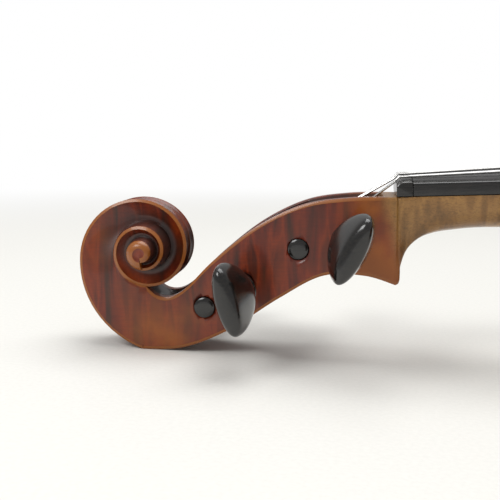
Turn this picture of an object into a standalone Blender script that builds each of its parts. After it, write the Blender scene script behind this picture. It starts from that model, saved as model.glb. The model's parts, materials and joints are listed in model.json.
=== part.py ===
"""Full-size violin, strung and lying on its back, as an assembly of separate pieces.

Every size below is in millimetres.  The model is laid out in the body's frame: x runs from
the body's upper edge to the tail, y to the treble side and z out of the belly, with z = 0
where the ribs meet the back.  make_node() turns millimetres into Blender's metres, and one
empty lays the whole violin down so that the scroll and the back touch the ground plane.
"""
import math

import bmesh
import bpy
from mathutils import Vector
from mathutils.geometry import delaunay_2d_cdt

MM = 0.001
GAP = 0.3                     # glue-joint and contact gap between neighbouring pieces

# Body
BODY_LENGTH = 355.0
UPPER_HALF_WIDTH = 84.0
WAIST_HALF_WIDTH = 55.0
LOWER_HALF_WIDTH = 104.0
RIB_HEIGHT = 30.0
RIB_THICKNESS = 1.2
EDGE_OVERHANG = 3.0
PLATE_EDGE = 4.0
PLATE_FIELD = 3.0
BELLY_ARCH = 15.0
BACK_ARCH = 15.0
RECURVE_WIDTH = 9.0
PLATE_GRID = 17.0
LINING_WIDTH = 2.0
LINING_HEIGHT = 7.5
CORNER_BLOCK_REACH = 24.0
CORNER_BLOCK_TIP = 7.0        # the block's point stops this far short of the plate's corner
TOP_BLOCK_LENGTH = 17.0
TOP_BLOCK_HALF_WIDTH = 26.0
END_BLOCK_LENGTH = 16.0
END_BLOCK_HALF_WIDTH = 24.0
BACK_BUTTON_LENGTH = 13.0
BACK_BUTTON_HALF_WIDTH = 10.5

# Sound holes
SOUND_HOLE_STEM = 3.1
SOUND_HOLE_TIP = 1.3
UPPER_EYE_RADIUS = 3.3
LOWER_EYE_RADIUS = 4.4

# Neck and fingerboard
NECK_ANGLE = math.radians(5.6)
OVERSTAND = 7.0
NECK_LENGTH = 130.0
NECK_DEPTH = 11.3
NECK_DEPTH_AT_HEEL = 13.5
MORTISE_DEPTH = 5.5
HEEL_HALF_WIDTH = 10.5
NUT_LENGTH = 5.0
NUT_HEIGHT = 6.6
FINGERBOARD_LENGTH = 270.0
FINGERBOARD_HALF_WIDTH = 12.0
FINGERBOARD_END_HALF_WIDTH = 21.0
FINGERBOARD_SIDE = 3.95
FINGERBOARD_RADIUS = 42.0
FINGERBOARD_HOLLOW = 4.0

# Pegbox
CHIN_REACH = 0.9
STRAIGHT_NECK_START = 28.0
WALL_AT_NUT = 13.0
WALL_AT_THROAT = 9.3
WALL_THICKNESS = 5.0
WALL_THICKNESS_AT_THROAT = 4.2
BACK_FLARE = 1.2
PEGBOX_FLOOR = 5.5

# Scroll: each turn of the spiral shrinks by the same ratio
EYE_A = -82.8
EYE_B = -15.5
SPIRAL_RADIUS = 21.09
SPIRAL_SHRINK = 0.182
SPIRAL_SHIFT_A = -3.45
SPIRAL_SHIFT_B = -1.26
SPIRAL_SHIFT_SHRINK = 0.311
SPIRAL_FLARE = 7.7
SPIRAL_END = 11.0
STEPS_PER_QUARTER = 5
SCROLL_HALF_WIDTH = 20.6
TURN_HALF_WIDTHS = (10.2, 7.0, 6.2, 7.5, 9.5, 12.0, 14.0, 15.6, 17.1, 18.3, 19.3, 20.1, 20.6)
FLUTE_DEPTH = 1.0
HOLLOW_DEPTH = 2.4

# Pegs: place of each axis along the neck (a) and above the neck plane (b)
PEG_AXES = {"g": (-15.2, -12.6), "e": (-31.9, -16.1), "d": (-50.7, -27.6), "a": (-64.0, -35.3)}
PEG_SIDE = {"g": -1.0, "e": 1.0, "d": -1.0, "a": 1.0}
PEG_LEAN = {"g": 27.5, "e": -14.0, "d": -13.0, "a": 8.0}
PEG_RADIUS = 3.65
PEG_TAPER = 1.0 / 60.0
PEG_CLEARANCE = 0.18
PEG_SIDES = 32
PEG_COLLAR_OUT = 22.5
PEG_COLLAR_RADIUS = 5.9
PEG_COLLAR_WIDTH = 2.2
PEG_HEAD_LENGTH = 22.5
PEG_HEAD_REACH = 18.5
PEG_HEAD_HALF_THICKNESS = 6.2
PEG_TIP_PROUD = 0.7
WINDING_WIDTH = 3.6

# Strings
STRING_RADIUS = {"g": 0.41, "d": 0.34, "a": 0.33, "e": 0.20}
STRING_ORDER = ("g", "d", "a", "e")
STRING_SPREAD_NUT = 16.5
STRING_SPREAD_BRIDGE = 34.0
STRING_SPREAD_TAIL = 29.0
STRING_SIDES = 8
STRING_RISE_NUT = 0.4

# Bridge
BRIDGE_X = 195.0
BRIDGE_HEIGHT = 33.0
BRIDGE_CURVE_RADIUS = 41.0
BRIDGE_FOOT_SPREAD = 41.0
BRIDGE_FOOT_THICKNESS = 4.5
BRIDGE_TOP_THICKNESS = 1.6
BRIDGE_FOOT_LENGTH = 11.5

# Tailpiece, saddle, end button
SADDLE_LENGTH = 7.0
SADDLE_HALF_WIDTH = 18.0
SADDLE_HEIGHT = 6.5
TAILPIECE_LENGTH = 111.0
TAILPIECE_HEAD_HALF_WIDTH = 20.5
TAILPIECE_FOOT_HALF_WIDTH = 10.5
TAILPIECE_THICKNESS = 5.0
TAILPIECE_TAIL_GAP = 6.0
TAILPIECE_HEAD_Z = 66.0
TAILPIECE_TAIL_Z = 45.0
TAILGUT_RADIUS = 0.9
TAILGUT_SPREAD = 4.2
BUTTON_RADIUS = 7.0
BUTTON_LENGTH = 9.0
BUTTON_SHANK_RADIUS = 3.8
BUTTON_SHANK_LENGTH = 15.0

# Fine tuner on the E string
TUNER_SCREW_RADIUS = 1.5
TUNER_KNOB_RADIUS = 3.6
TUNER_KNOB_HEIGHT = 4.0
TUNER_SCREW_LENGTH = 17.0
TUNER_CLEARANCE = 0.25
TUNER_PIN_RADIUS = 0.7
TUNER_SCREW_ALONG = TAILPIECE_LENGTH - 24.0
TUNER_PIVOT_ALONG = TAILPIECE_LENGTH - 6.0
TUNER_PIVOT_UP = TAILPIECE_THICKNESS * 0.5 + 5.2

# Inside
SOUND_POST_RADIUS = 3.0
SOUND_POST_OFFSET_Y = 21.0
SOUND_POST_BEHIND_BRIDGE = 7.0
BASS_BAR_LENGTH = 272.0
BASS_BAR_WIDTH = 5.5
BASS_BAR_HEIGHT = 11.0
BASS_BAR_Y = -17.5

COLOURS = {
    "varnished maple": ((0.36, 0.075, 0.012, 1.0), 0.28, 0.0),
    "varnished spruce": ((0.48, 0.14, 0.03, 1.0), 0.3, 0.0),
    "bare maple": ((0.62, 0.42, 0.22, 1.0), 0.55, 0.0),
    "bare spruce": ((0.70, 0.52, 0.30, 1.0), 0.6, 0.0),
    "ebony": ((0.012, 0.011, 0.010, 1.0), 0.3, 0.0),
    "wound string": ((0.62, 0.62, 0.64, 1.0), 0.25, 1.0),
    "nickel": ((0.66, 0.65, 0.62, 1.0), 0.18, 1.0),
    "tailgut": ((0.02, 0.02, 0.02, 1.0), 0.4, 0.0),
}


# ---------------------------------------------------------------- scene and mesh helpers
def clear_scene():
    for item in list(bpy.data.objects):
        bpy.data.objects.remove(item, do_unlink=True)


def finish_material(name):
    material = bpy.data.materials.get(name)
    if material is None:
        colour, roughness, metallic = COLOURS[name]
        material = bpy.data.materials.new(name)
        material.use_nodes = True
        shader = material.node_tree.nodes["Principled BSDF"]
        shader.inputs["Base Color"].default_value = colour
        shader.inputs["Roughness"].default_value = roughness
        shader.inputs["Metallic"].default_value = metallic
    return material


def make_node(name, mesh_data, material, holder, origin=(0.0, 0.0, 0.0), smooth=True):
    """Turn (points, faces) in millimetres into one object, its origin at the given point."""
    points, faces = mesh_data
    mesh = bpy.data.meshes.new(name)
    start = Vector(origin)
    mesh.from_pydata([(Vector(p) - start) * MM for p in points], [], faces)
    shell = bmesh.new()
    shell.from_mesh(mesh)
    bmesh.ops.remove_doubles(shell, verts=shell.verts, dist=0.00001)
    bmesh.ops.recalc_face_normals(shell, faces=shell.faces)
    shell.to_mesh(mesh)
    shell.free()
    mesh.materials.append(finish_material(material))
    piece = bpy.data.objects.new(name, mesh)
    bpy.context.collection.objects.link(piece)
    if smooth:
        mesh.shade_smooth()
        mesh.set_sharp_from_angle(angle=math.radians(32))
    piece.parent = holder
    piece.location = start * MM
    return piece


def make_cutter(name, mesh_data, holder):
    cutter = make_node(name, mesh_data, "ebony", holder, smooth=False)
    cutter.hide_render = True
    cutter.display_type = "WIRE"
    return cutter


def cut(piece, cutter):
    boolean = piece.modifiers.new("Cut " + cutter.name, "BOOLEAN")
    boolean.operation = "DIFFERENCE"
    boolean.solver = "EXACT"
    boolean.object = cutter


def bezier(p0, p1, p2, p3, count):
    """Points of one cubic curve, without its last point."""
    points = []
    for i in range(count):
        t = i / count
        s = 1.0 - t
        weights = (s * s * s, 3 * s * s * t, 3 * s * t * t, t * t * t)
        points.append(tuple(sum(w * p[k] for w, p in zip(weights, (p0, p1, p2, p3)))
                            for k in range(len(p0))))
    return points


def smooth_route(knots, count):
    """A Catmull-Rom curve through the knots, with its two ends."""
    route = []
    padded = [knots[0]] + list(knots) + [knots[-1]]
    for k in range(1, len(padded) - 2):
        p0, p1, p2, p3 = (Vector(padded[k + j]) for j in (-1, 0, 1, 2))
        for i in range(count):
            t = i / count
            route.append(tuple(0.5 * (2 * p1 + (p2 - p0) * t + (2 * p0 - 5 * p1 + 4 * p2 - p3) * t * t
                                      + (3 * p1 - p0 - 3 * p2 + p3) * t ** 3)))
    route.append(tuple(knots[-1]))
    return route


def interpolate(value, places, results):
    for k in range(len(places) - 1):
        if value <= places[k + 1] or k == len(places) - 2:
            share = (value - places[k]) / (places[k + 1] - places[k])
            share = min(max(share, 0.0), 1.0)
            return results[k] + (results[k + 1] - results[k]) * share
    return results[-1]


def smooth_step(value):
    value = min(max(value, 0.0), 1.0)
    return value * value * (3.0 - 2.0 * value)


def inside(point, loop):
    """True when the point lies inside the closed loop."""
    x, y = point
    hit = False
    previous = loop[-1]
    for current in loop:
        if (current[1] > y) != (previous[1] > y):
            share = (y - current[1]) / (previous[1] - current[1])
            if x < current[0] + share * (previous[0] - current[0]):
                hit = not hit
        previous = current
    return hit


def distance_to_loop(point, loop):
    nearest = 1e9
    px, py = point
    ax, ay = loop[-1]
    for bx, by in loop:
        dx, dy = bx - ax, by - ay
        length = dx * dx + dy * dy
        share = 0.0 if length == 0 else min(max(((px - ax) * dx + (py - ay) * dy) / length, 0), 1)
        nearest = min(nearest, math.hypot(px - ax - share * dx, py - ay - share * dy))
        ax, ay = bx, by
    return nearest


def offset_curve(points, distance):
    """Move an open curve sideways, to its left for a positive distance."""
    moved = []
    for i, point in enumerate(points):
        before = points[max(i - 1, 0)]
        after = points[min(i + 1, len(points) - 1)]
        dx, dy = after[0] - before[0], after[1] - before[1]
        length = math.hypot(dx, dy)
        moved.append((point[0] - dy / length * distance, point[1] + dx / length * distance))
    return moved


def plate_mesh(outline, holes, upper, lower, grid):
    """A sheet between two height functions, triangulated inside its outline."""
    loops = [outline] + holes
    points = [tuple(p) for loop in loops for p in loop]
    edges = []
    start = 0
    for loop in loops:
        edges += [(start + i, start + (i + 1) % len(loop)) for i in range(len(loop))]
        start += len(loop)
    low_x, high_x = min(p[0] for p in outline), max(p[0] for p in outline)
    low_y, high_y = min(p[1] for p in outline), max(p[1] for p in outline)
    rows = int((high_x - low_x) / (grid * 0.87)) + 1
    for row in range(rows + 1):
        x = low_x + row * grid * 0.87
        y = low_y + (grid / 2 if row % 2 else 0.0)
        while y < high_y:
            clear = all(distance_to_loop((x, y), loop) > grid * 0.42 for loop in loops)
            if clear and inside((x, y), outline) and not any(inside((x, y), h) for h in holes):
                points.append((x, y))
            y += grid
    vectors = [Vector(p) for p in points]
    flat, _, triangles, _, _, _ = delaunay_2d_cdt(vectors, edges, [], 0, 1e-6)
    kept = []
    for triangle in triangles:
        centre = sum((flat[i] for i in triangle), Vector((0, 0))) / 3
        if inside(centre, outline) and not any(inside(centre, hole) for hole in holes):
            kept.append(tuple(triangle))
    count = len(flat)
    top = [(p.x, p.y, upper(p.x, p.y)) for p in flat]
    bottom = [(p.x, p.y, lower(p.x, p.y)) for p in flat]
    faces = list(kept) + [tuple(count + i for i in reversed(t)) for t in kept]
    used = {(t[k], t[(k + 1) % 3]) for t in kept for k in range(3)}
    for a, b in sorted(used):
        if (b, a) not in used:
            faces.append((b, a, count + a, count + b))
    return top + bottom, faces


def prism(low_loop, high_loop):
    """A solid between two closed loops of the same number of points."""
    count = len(low_loop)
    faces = [tuple(reversed(range(count))), tuple(range(count, 2 * count))]
    for i in range(count):
        j = (i + 1) % count
        faces.append((i, j, count + j, count + i))
    return list(low_loop) + list(high_loop), faces


def loft(sections):
    """A solid through closed sections of the same number of points, capped at both ends."""
    count = len(sections[0])
    points = [tuple(p) for section in sections for p in section]
    faces = [tuple(reversed(range(count)))]
    for s in range(len(sections) - 1):
        for i in range(count):
            j = (i + 1) % count
            low, high = s * count, (s + 1) * count
            faces.append((low + i, low + j, high + j, high + i))
    faces.append(tuple(range((len(sections) - 1) * count, len(sections) * count)))
    return points, faces


def turned(profile, centre, axis, sides, start=0.0):
    """A solid turned about an axis; the profile is (distance along, radius) pairs."""
    axis = Vector(axis).normalized()
    side = axis.orthogonal().normalized()
    up = axis.cross(side)
    sections = []
    for along, radius in profile:
        ring = []
        for i in range(sides):
            angle = start + 2 * math.pi * i / sides
            offset = side * math.cos(angle) * radius + up * math.sin(angle) * radius
            ring.append(tuple(Vector(centre) + axis * along + offset))
        sections.append(ring)
    return loft(sections)


def tube(route, radius, sides):
    """A round bar along a route, its section carried along without twist."""
    route = [Vector(p) for p in route]
    sections = []
    side = None
    for i, point in enumerate(route):
        along = (route[min(i + 1, len(route) - 1)] - route[max(i - 1, 0)]).normalized()
        if side is None:
            side = along.orthogonal().normalized()
        side = (side - along * side.dot(along)).normalized()
        up = along.cross(side)
        ring = []
        for k in range(sides):
            angle = 2 * math.pi * k / sides
            ring.append(tuple(point + side * math.cos(angle) * radius + up * math.sin(angle) * radius))
        sections.append(ring)
    return loft(sections)


def join_meshes(*parts):
    """Several closed shapes as one list of points and faces."""
    points, faces = [], []
    for part_points, part_faces in parts:
        start = len(points)
        points += [tuple(p) for p in part_points]
        faces += [tuple(start + i for i in face) for face in part_faces]
    return points, faces


def mirrored(mesh_data):
    points, faces = mesh_data
    return [(x, -y, z) for x, y, z in points], [tuple(reversed(face)) for face in faces]


# ---------------------------------------------------------------- body outline and arching
def bout_curves():
    """Upper, waist and lower edge of the treble half, from the neck to the tail."""
    length = BODY_LENGTH
    upper, waist, lower = UPPER_HALF_WIDTH, WAIST_HALF_WIDTH, LOWER_HALF_WIDTH
    upper_corner = (0.341 * length, upper - 3.5)
    upper_tip = (0.358 * length, upper - 7.0)
    lower_corner = (0.58 * length, lower - 12.5)
    lower_tip = (0.6 * length, lower - 8.5)
    widest_up, narrowest, widest_down = 0.186 * length, 0.437 * length, 0.8 * length
    top = bezier((0, 0), (0, 0.5 * upper), (0.43 * widest_up, upper), (widest_up, upper), 10)
    top += bezier((widest_up, upper), (1.3 * widest_up, upper),
                  (0.275 * length, upper - 9.5), (0.3 * length, upper - 11.5), 5)
    top += bezier((0.3 * length, upper - 11.5), (0.316 * length, upper - 12.6),
                  (0.333 * length, upper - 10.5), upper_corner, 3) + [upper_corner]
    middle = bezier(upper_tip, (0.369 * length, upper - 20), (0.39 * length, waist),
                    (narrowest, waist), 6)
    middle += bezier((narrowest, waist), (0.495 * length, waist),
                     (0.552 * length, lower - 40), lower_corner, 6) + [lower_corner]
    low_start = (0.648 * length, lower - 11.2)
    bottom = bezier(lower_tip, (0.611 * length, lower - 12.5), (0.628 * length, lower - 13), low_start, 3)
    bottom += bezier(low_start, (0.687 * length, lower - 8), (0.732 * length, lower),
                     (widest_down, lower), 4)
    bottom += bezier((widest_down, lower), (0.9 * length, lower), (length, 0.6 * lower), (length, 0), 10)
    return top, middle, bottom + [(length, 0)]


UPPER_EDGE, WAIST_EDGE, LOWER_EDGE = bout_curves()
HALF_EDGE = UPPER_EDGE + WAIST_EDGE + LOWER_EDGE
WHOLE_EDGE = HALF_EDGE + [(x, -y) for x, y in reversed(HALF_EDGE[1:-1])]


def arch_share(x, y):
    """How far the arch has risen at a point of the plate, from 0 at the edge to 1."""
    reach_places = [0.0, 0.19, 0.34, 0.44, 0.56, 0.8, 1.0]
    reach_lengths = [55.0, 72.0, 58.0, 52.0, 60.0, 88.0, 60.0]
    reach = interpolate(x / BODY_LENGTH, reach_places, reach_lengths)
    return smooth_step((distance_to_loop((x, y), WHOLE_EDGE) - 3.0) / reach)


def belly_top(x, y):
    return RIB_HEIGHT + PLATE_EDGE + (BELLY_ARCH - PLATE_EDGE) * arch_share(x, y)


def under_share(x, y):
    return smooth_step((distance_to_loop((x, y), WHOLE_EDGE) - RECURVE_WIDTH) / 8.0)


def belly_under(x, y):
    seat = RIB_HEIGHT + GAP
    return seat + (belly_top(x, y) - PLATE_FIELD - seat) * under_share(x, y)


def back_outside(x, y):
    return -PLATE_EDGE - (BACK_ARCH - PLATE_EDGE) * arch_share(x, y)


def back_inside(x, y):
    return -GAP + (back_outside(x, y) + PLATE_FIELD + GAP) * under_share(x, y)


def neck_plane(x):
    """Height of the neck's glue surface over the body frame's x."""
    return RIB_HEIGHT + PLATE_EDGE + OVERSTAND + x * math.tan(NECK_ANGLE)


def on_neck(a, y, b):
    """A point given along the neck (a, from the nut) and above it (b), in the body's frame."""
    along = a - NUT_LENGTH - NECK_LENGTH
    x = along * math.cos(NECK_ANGLE) - b * math.sin(NECK_ANGLE)
    z = neck_plane(0.0) + along * math.sin(NECK_ANGLE) + b * math.cos(NECK_ANGLE)
    return (x, y, z)


def from_body(x, z):
    """The reverse of on_neck, for a point on the centre plane."""
    rise = z - neck_plane(0.0)
    along = x * math.cos(NECK_ANGLE) + rise * math.sin(NECK_ANGLE)
    return (along + NUT_LENGTH + NECK_LENGTH, rise * math.cos(NECK_ANGLE) - x * math.sin(NECK_ANGLE))


# ---------------------------------------------------------------- scroll, pegbox and neck
def spiral_radius(t):
    flare = SPIRAL_FLARE * t * t if t < 0 else 0.0
    return SPIRAL_RADIUS * math.exp(-SPIRAL_SHRINK * t) + flare


def spiral_point(t, extra=0.0):
    """A point of the scroll's edge after t quarter turns, counted from its farthest point."""
    shift = math.exp(-SPIRAL_SHIFT_SHRINK * max(t, 0.0))
    angle = math.pi * (1.0 - t / 2.0)
    radius = spiral_radius(t) + extra
    return (EYE_A + shift * SPIRAL_SHIFT_A + radius * math.cos(angle),
            EYE_B + shift * SPIRAL_SHIFT_B + radius * math.sin(angle))


def turn_half_width(t):
    quarters = [float(k - 1) for k in range(len(TURN_HALF_WIDTHS))]
    return interpolate(t, quarters, TURN_HALF_WIDTHS) * SCROLL_HALF_WIDTH / TURN_HALF_WIDTHS[-1]


def pegbox_front():
    """Front edge of the pegbox's wall, from the nut to the throat, in neck coordinates."""
    knots = [(0, 0), (-15.3, 0.2), (-30.1, -1.7), (-45.4, -8.5), (-60.3, -19.5), (-69.7, -28.4),
             (-75.5, -31.8), (-80.5, -31.4), spiral_point(3.0)]
    return smooth_route(knots, 6)


def pegbox_back():
    """Back edge of the pegbox's wall, from the chin to the scroll."""
    knots = [(-CHIN_REACH, -28.2), (-10.9, -24.9), (-24.3, -24.9), (-38.6, -32.2), (-57.0, -43.6),
             (-72.7, -49.4), spiral_point(-1.0)]
    return smooth_route(knots, 8)


def point_along(route, share):
    lengths = [0.0]
    for p, q in zip(route, route[1:]):
        lengths.append(lengths[-1] + math.dist(p, q))
    return tuple(interpolate(share * lengths[-1], lengths, [p[k] for p in route]) for k in range(2))


def height_on(route, a):
    places = [-p[0] for p in route]
    return interpolate(-a, places, [p[1] for p in route])


def wall_half_width(a):
    return interpolate(-a, [0.0, 12.0, 32.0, 60.0, 84.0],
                       [WALL_AT_NUT - 0.6, WALL_AT_NUT, WALL_AT_NUT - 0.9,
                        0.5 * (WALL_AT_NUT + WALL_AT_THROAT) - 0.6, WALL_AT_THROAT])


SECTION_SHARES = (0.0, 0.0, 0.0, 0.3, 0.68, 1.0, 1.0, 1.0)
SECTION_ANGLES = (0.0, 0.0, 0.0, 22.0, 44.0, 62.0, 77.0, 90.0)


def neck_section(top, bottom, top_width, bottom_width, roundness, flute=0.0):
    """Half a section from the top centre round to the bottom centre, in neck coordinates."""
    rows = []
    for k, (share, degrees) in enumerate(zip(SECTION_SHARES, SECTION_ANGLES)):
        angle = math.radians(degrees)
        round_share = math.sin(angle) ** 0.85
        round_width = top_width * max(math.cos(angle), 0.0) ** 0.8
        flat_width = top_width + (bottom_width - top_width) * share
        if k in (0, 7):
            flat_width = round_width = 0.0
        if k in (1, 6):
            flat_width *= 0.5
        if k == 1:
            round_width *= 0.5
        down = share + (round_share - share) * roundness
        width = flat_width + (round_width - flat_width) * roundness
        lift = flute if k == 6 else 0.0
        rows.append((top[0] + (bottom[0] - top[0]) * down, width,
                     top[1] + (bottom[1] - top[1]) * down + lift))
    return rows


def grid_faces(rows):
    """Faces between neighbouring rows of points, as loose squares to be merged."""
    points, faces = [], []
    for low, high in zip(rows, rows[1:]):
        for i in range(len(low) - 1):
            start = len(points)
            points += [low[i], low[i + 1], high[i + 1], high[i]]
            faces.append((start, start + 1, start + 2, start + 3))
    return points, faces


def heel_stations():
    """Sections from the chin to the end of the neck's root."""
    stations = []
    neck_end = from_body(MORTISE_DEPTH, neck_plane(MORTISE_DEPTH))[0]
    widths = [FINGERBOARD_HALF_WIDTH - 0.2, neck_width(neck_end)]
    under_chin = [(0.8, 0.5, -26.9, 13.0, 0.06), (1.6, 0.9, -22.6, 12.8, 0.2), (3.6, 3.0, -18.0, 12.4, 0.45),
                  (7.4, 7.0, -14.6, 12.1, 0.7), (12.0, 11.8, -12.8, 12.0, 0.88),
                  (18.0, 18.0, -11.9, 11.9, 0.98)]
    for top_a, low_a, low_b, low_width, roundness in under_chin:
        stations.append(neck_section((top_a, 0), (low_a, low_b), neck_width(top_a), low_width, roundness))
    straight_end = neck_end - 42.0
    for k in range(5):
        a = STRAIGHT_NECK_START + (straight_end - STRAIGHT_NECK_START) * k / 4
        depth = NECK_DEPTH + (NECK_DEPTH_AT_HEEL - NECK_DEPTH) * k / 4
        stations.append(neck_section((a, 0), (a, -depth), neck_width(a), widths[0], 1.0))
    heel_z = 0.0
    heel_curve = [(-29.0, 0.55, -24.0, 0.95), (-22.0, 0.35, -20.0, 0.85), (-17.0, 0.17, -15.5, 0.72),
                  (-13.5, 0.05, -13.2, 0.6), (-9.0, 0.0, -12.4, 0.5)]
    under_start = neck_plane(-29.0) - NECK_DEPTH_AT_HEEL
    for top_x, low_share, low_x, roundness in heel_curve:
        low = from_body(low_x, heel_z + (under_start - heel_z) * low_share * 1.4)
        top = from_body(top_x, neck_plane(top_x))
        stations.append(neck_section(top, low, neck_width(top[0]), HEEL_HALF_WIDTH, roundness))
    for x, roundness in ((-2.0, 0.0), (MORTISE_DEPTH, 0.0)):
        top = from_body(x, neck_plane(x))
        low = from_body(x, heel_z)
        stations.append(neck_section(top, low, neck_width(top[0]), HEEL_HALF_WIDTH, roundness))
    return stations


def neck_width(a):
    """Half width of the neck's top, which follows the fingerboard."""
    share = (a - NUT_LENGTH) / FINGERBOARD_LENGTH
    return (FINGERBOARD_HALF_WIDTH - 0.2
            + (FINGERBOARD_END_HALF_WIDTH - FINGERBOARD_HALF_WIDTH) * max(share, -0.02))


def turn_rows(t):
    """Half a section of the scroll at t: from the wall of the next turn in, over the face."""
    edge = spiral_point(t)
    width = turn_half_width(t)
    inner = wall_foot(t + 4.0)
    hollow = smooth_step((t + 1.0) / 1.6)
    rows = [inner]
    for share, sink in ((0.32, 1.0), (0.7, 0.55)):
        a = inner[0] + (edge[0] - inner[0]) * share
        b = inner[2] + (edge[1] - inner[2]) * share
        y = inner[1] + (width - inner[1]) * share - sink * 0.8 * hollow
        rows.append((a, y, b))
    rows.append((edge[0], width, edge[1]))
    return rows


def wall_foot(t):
    """Foot of a turn's wall, on the face of the turn outside it."""
    rise = smooth_step((t - 3.0) / 1.5)
    a, b = spiral_point(t, 0.8 * rise)
    low = turn_half_width(t - 4.0) - HOLLOW_DEPTH * smooth_step((t - 3.2) / 2.0)
    return (a, turn_half_width(t) * (1 - rise) + low * rise, b)


def rim_rows(t):
    """Half of the scroll's outer rim at t: edge, flute and ridge."""
    edge = spiral_point(t)
    flute = spiral_point(t, -FLUTE_DEPTH)
    width = turn_half_width(t)
    return [(edge[0], width, edge[1]), (flute[0], width * 0.5, flute[1]), (edge[0], 0.0, edge[1])]


def head_mesh():
    """Neck, pegbox and scroll as one closed shape, still without hollow and peg holes."""
    front, back = pegbox_front(), pegbox_back()
    stations = []
    steps = 15
    for k in range(steps):
        top = point_along(front, k / steps)
        low = point_along(back, k / steps)
        width = wall_half_width(top[0])
        flute = FLUTE_DEPTH * smooth_step(k / 4)
        stations.append(neck_section(top, low, width, width + BACK_FLARE * (1 - k / steps), 0.0, flute))
    last_face = turn_rows(-1.0)
    last_rim = rim_rows(-1.0)
    throat_rim = rim_rows(3.0)
    stations.append([throat_rim[2], throat_rim[1]] + last_face[:3] + last_rim)
    whole = list(reversed(heel_stations())) + stations
    patches = [grid_faces(whole)]
    count = int((SPIRAL_END + 1) * STEPS_PER_QUARTER)
    ticks = [-1.0 + k / STEPS_PER_QUARTER for k in range(count + 1)]
    patches.append(grid_faces([rim_rows(t) for t in ticks if t <= 3.001]))
    patches.append(grid_faces([turn_rows(t) for t in ticks if t <= SPIRAL_END - 3.999]))
    walls = []
    for t in ticks:
        if t > 2.999:
            edge = spiral_point(t)
            walls.append([wall_foot(t), (edge[0], turn_half_width(t), edge[1])])
    patches.append(grid_faces(walls))
    last_turn = [(*spiral_point(t), turn_half_width(t)) for t in ticks if t > SPIRAL_END - 3.999]
    ring = turn_rows(SPIRAL_END - 4.0) + [(a, y, b) for a, b, y in last_turn]
    centre = (EYE_A, SCROLL_HALF_WIDTH - 0.4, EYE_B)
    fan = [(centre, ring[i], ring[(i + 1) % len(ring)]) for i in range(len(ring))]
    fan_faces = [(3 * i, 3 * i + 1, 3 * i + 2) for i in range(len(fan))]
    patches.append(([p for face in fan for p in face], fan_faces))
    points, faces = join_meshes(*patches)
    root = whole[0] + [(a, -y, b) for a, y, b in reversed(whole[0][1:-1])]
    root_face = (root, [tuple(range(len(root)))])
    points, faces = join_meshes((points, faces), mirrored((points, faces)), root_face)
    return [on_neck(*p) for p in points], faces


def pegbox_hollow():
    """The space that the pegs cross, open at the front."""
    front, back = pegbox_front(), pegbox_back()
    sections = []
    places = [-4.5, -12.0, -22.0, -32.0, -42.0, -52.0, -60.0, -67.0, -73.0, -77.5]
    for a in places:
        top = height_on(front, a)
        floor = height_on(back, a) + PEGBOX_FLOOR
        closing = smooth_step((-a - 69.0) / 9.0)
        floor += (top - 3.0 - floor) * closing
        wall = interpolate(-a, [0.0, 78.0], [WALL_THICKNESS, WALL_THICKNESS_AT_THROAT])
        width = wall_half_width(a) - wall
        if a == places[0]:
            floor = floor + 5.0
        open_top = top + interpolate(-a, [52.0, 66.0, 78.0], [12.0, 5.0, 2.5])
        sections.append([on_neck(a, -width, floor), on_neck(a, width, floor),
                         on_neck(a, width, open_top), on_neck(a, -width, open_top)])
    return loft(sections)


# ---------------------------------------------------------------- pegs
def peg_radius(side, y):
    """The shaft grows towards its head: y is measured towards the head."""
    return PEG_RADIUS + PEG_TAPER * side * y


def peg_wall(name):
    a = PEG_AXES[name][0]
    return wall_half_width(a) + BACK_FLARE * 0.5


def peg_mesh(name):
    """Shaft, collar and thumb piece of one peg, in the body's frame."""
    a, b = PEG_AXES[name]
    side = PEG_SIDE[name]
    wall = peg_wall(name)
    tip = -(wall + PEG_TIP_PROUD)
    centre = on_neck(a, 0.0, b)
    profile = [(tip, peg_radius(1, tip) - 0.7), (tip + 0.6, peg_radius(1, tip))]
    profile += [(wall + 1.5, peg_radius(1, wall)), (PEG_COLLAR_OUT - 1.5, 3.3),
                (PEG_COLLAR_OUT - 0.2, PEG_COLLAR_RADIUS - 0.6), (PEG_COLLAR_OUT + 0.7, PEG_COLLAR_RADIUS),
                (PEG_COLLAR_OUT + PEG_COLLAR_WIDTH, PEG_COLLAR_RADIUS - 0.4)]
    sections = []
    lean = math.radians(PEG_LEAN[name]) + NECK_ANGLE * -1.0
    long_way = Vector((math.sin(lean), 0.0, math.cos(lean)))
    thin_way = Vector((math.cos(lean), 0.0, -math.sin(lean)))
    start = Vector(centre)
    for along, radius in profile:
        sections.append(peg_ring(start, side * along, long_way, thin_way, radius, radius))
    base = PEG_COLLAR_OUT + PEG_COLLAR_WIDTH
    half = PEG_HEAD_LENGTH / 2
    for share, long_share, thick_share in ((0.06, 0.6, 0.92), (0.2, 0.86, 1.0), (0.42, 0.98, 0.9),
                                           (0.62, 1.0, 0.76), (0.8, 0.96, 0.62), (0.93, 0.84, 0.46),
                                           (1.0, 0.6, 0.24)):
        sections.append(peg_ring(start, side * (base + PEG_HEAD_REACH * share), long_way, thin_way,
                                 half * long_share, PEG_HEAD_HALF_THICKNESS * thick_share))
    if side < 0:
        sections = [list(reversed(s)) for s in sections]
    return loft(sections), centre


def peg_ring(start, y, long_way, thin_way, long_radius, thin_radius):
    ring = []
    for k in range(PEG_SIDES):
        angle = 2 * math.pi * (k + 0.5) / PEG_SIDES
        ring.append(tuple(start + Vector((0, y, 0)) + long_way * math.cos(angle) * long_radius
                          + thin_way * math.sin(angle) * thin_radius))
    return ring


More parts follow.
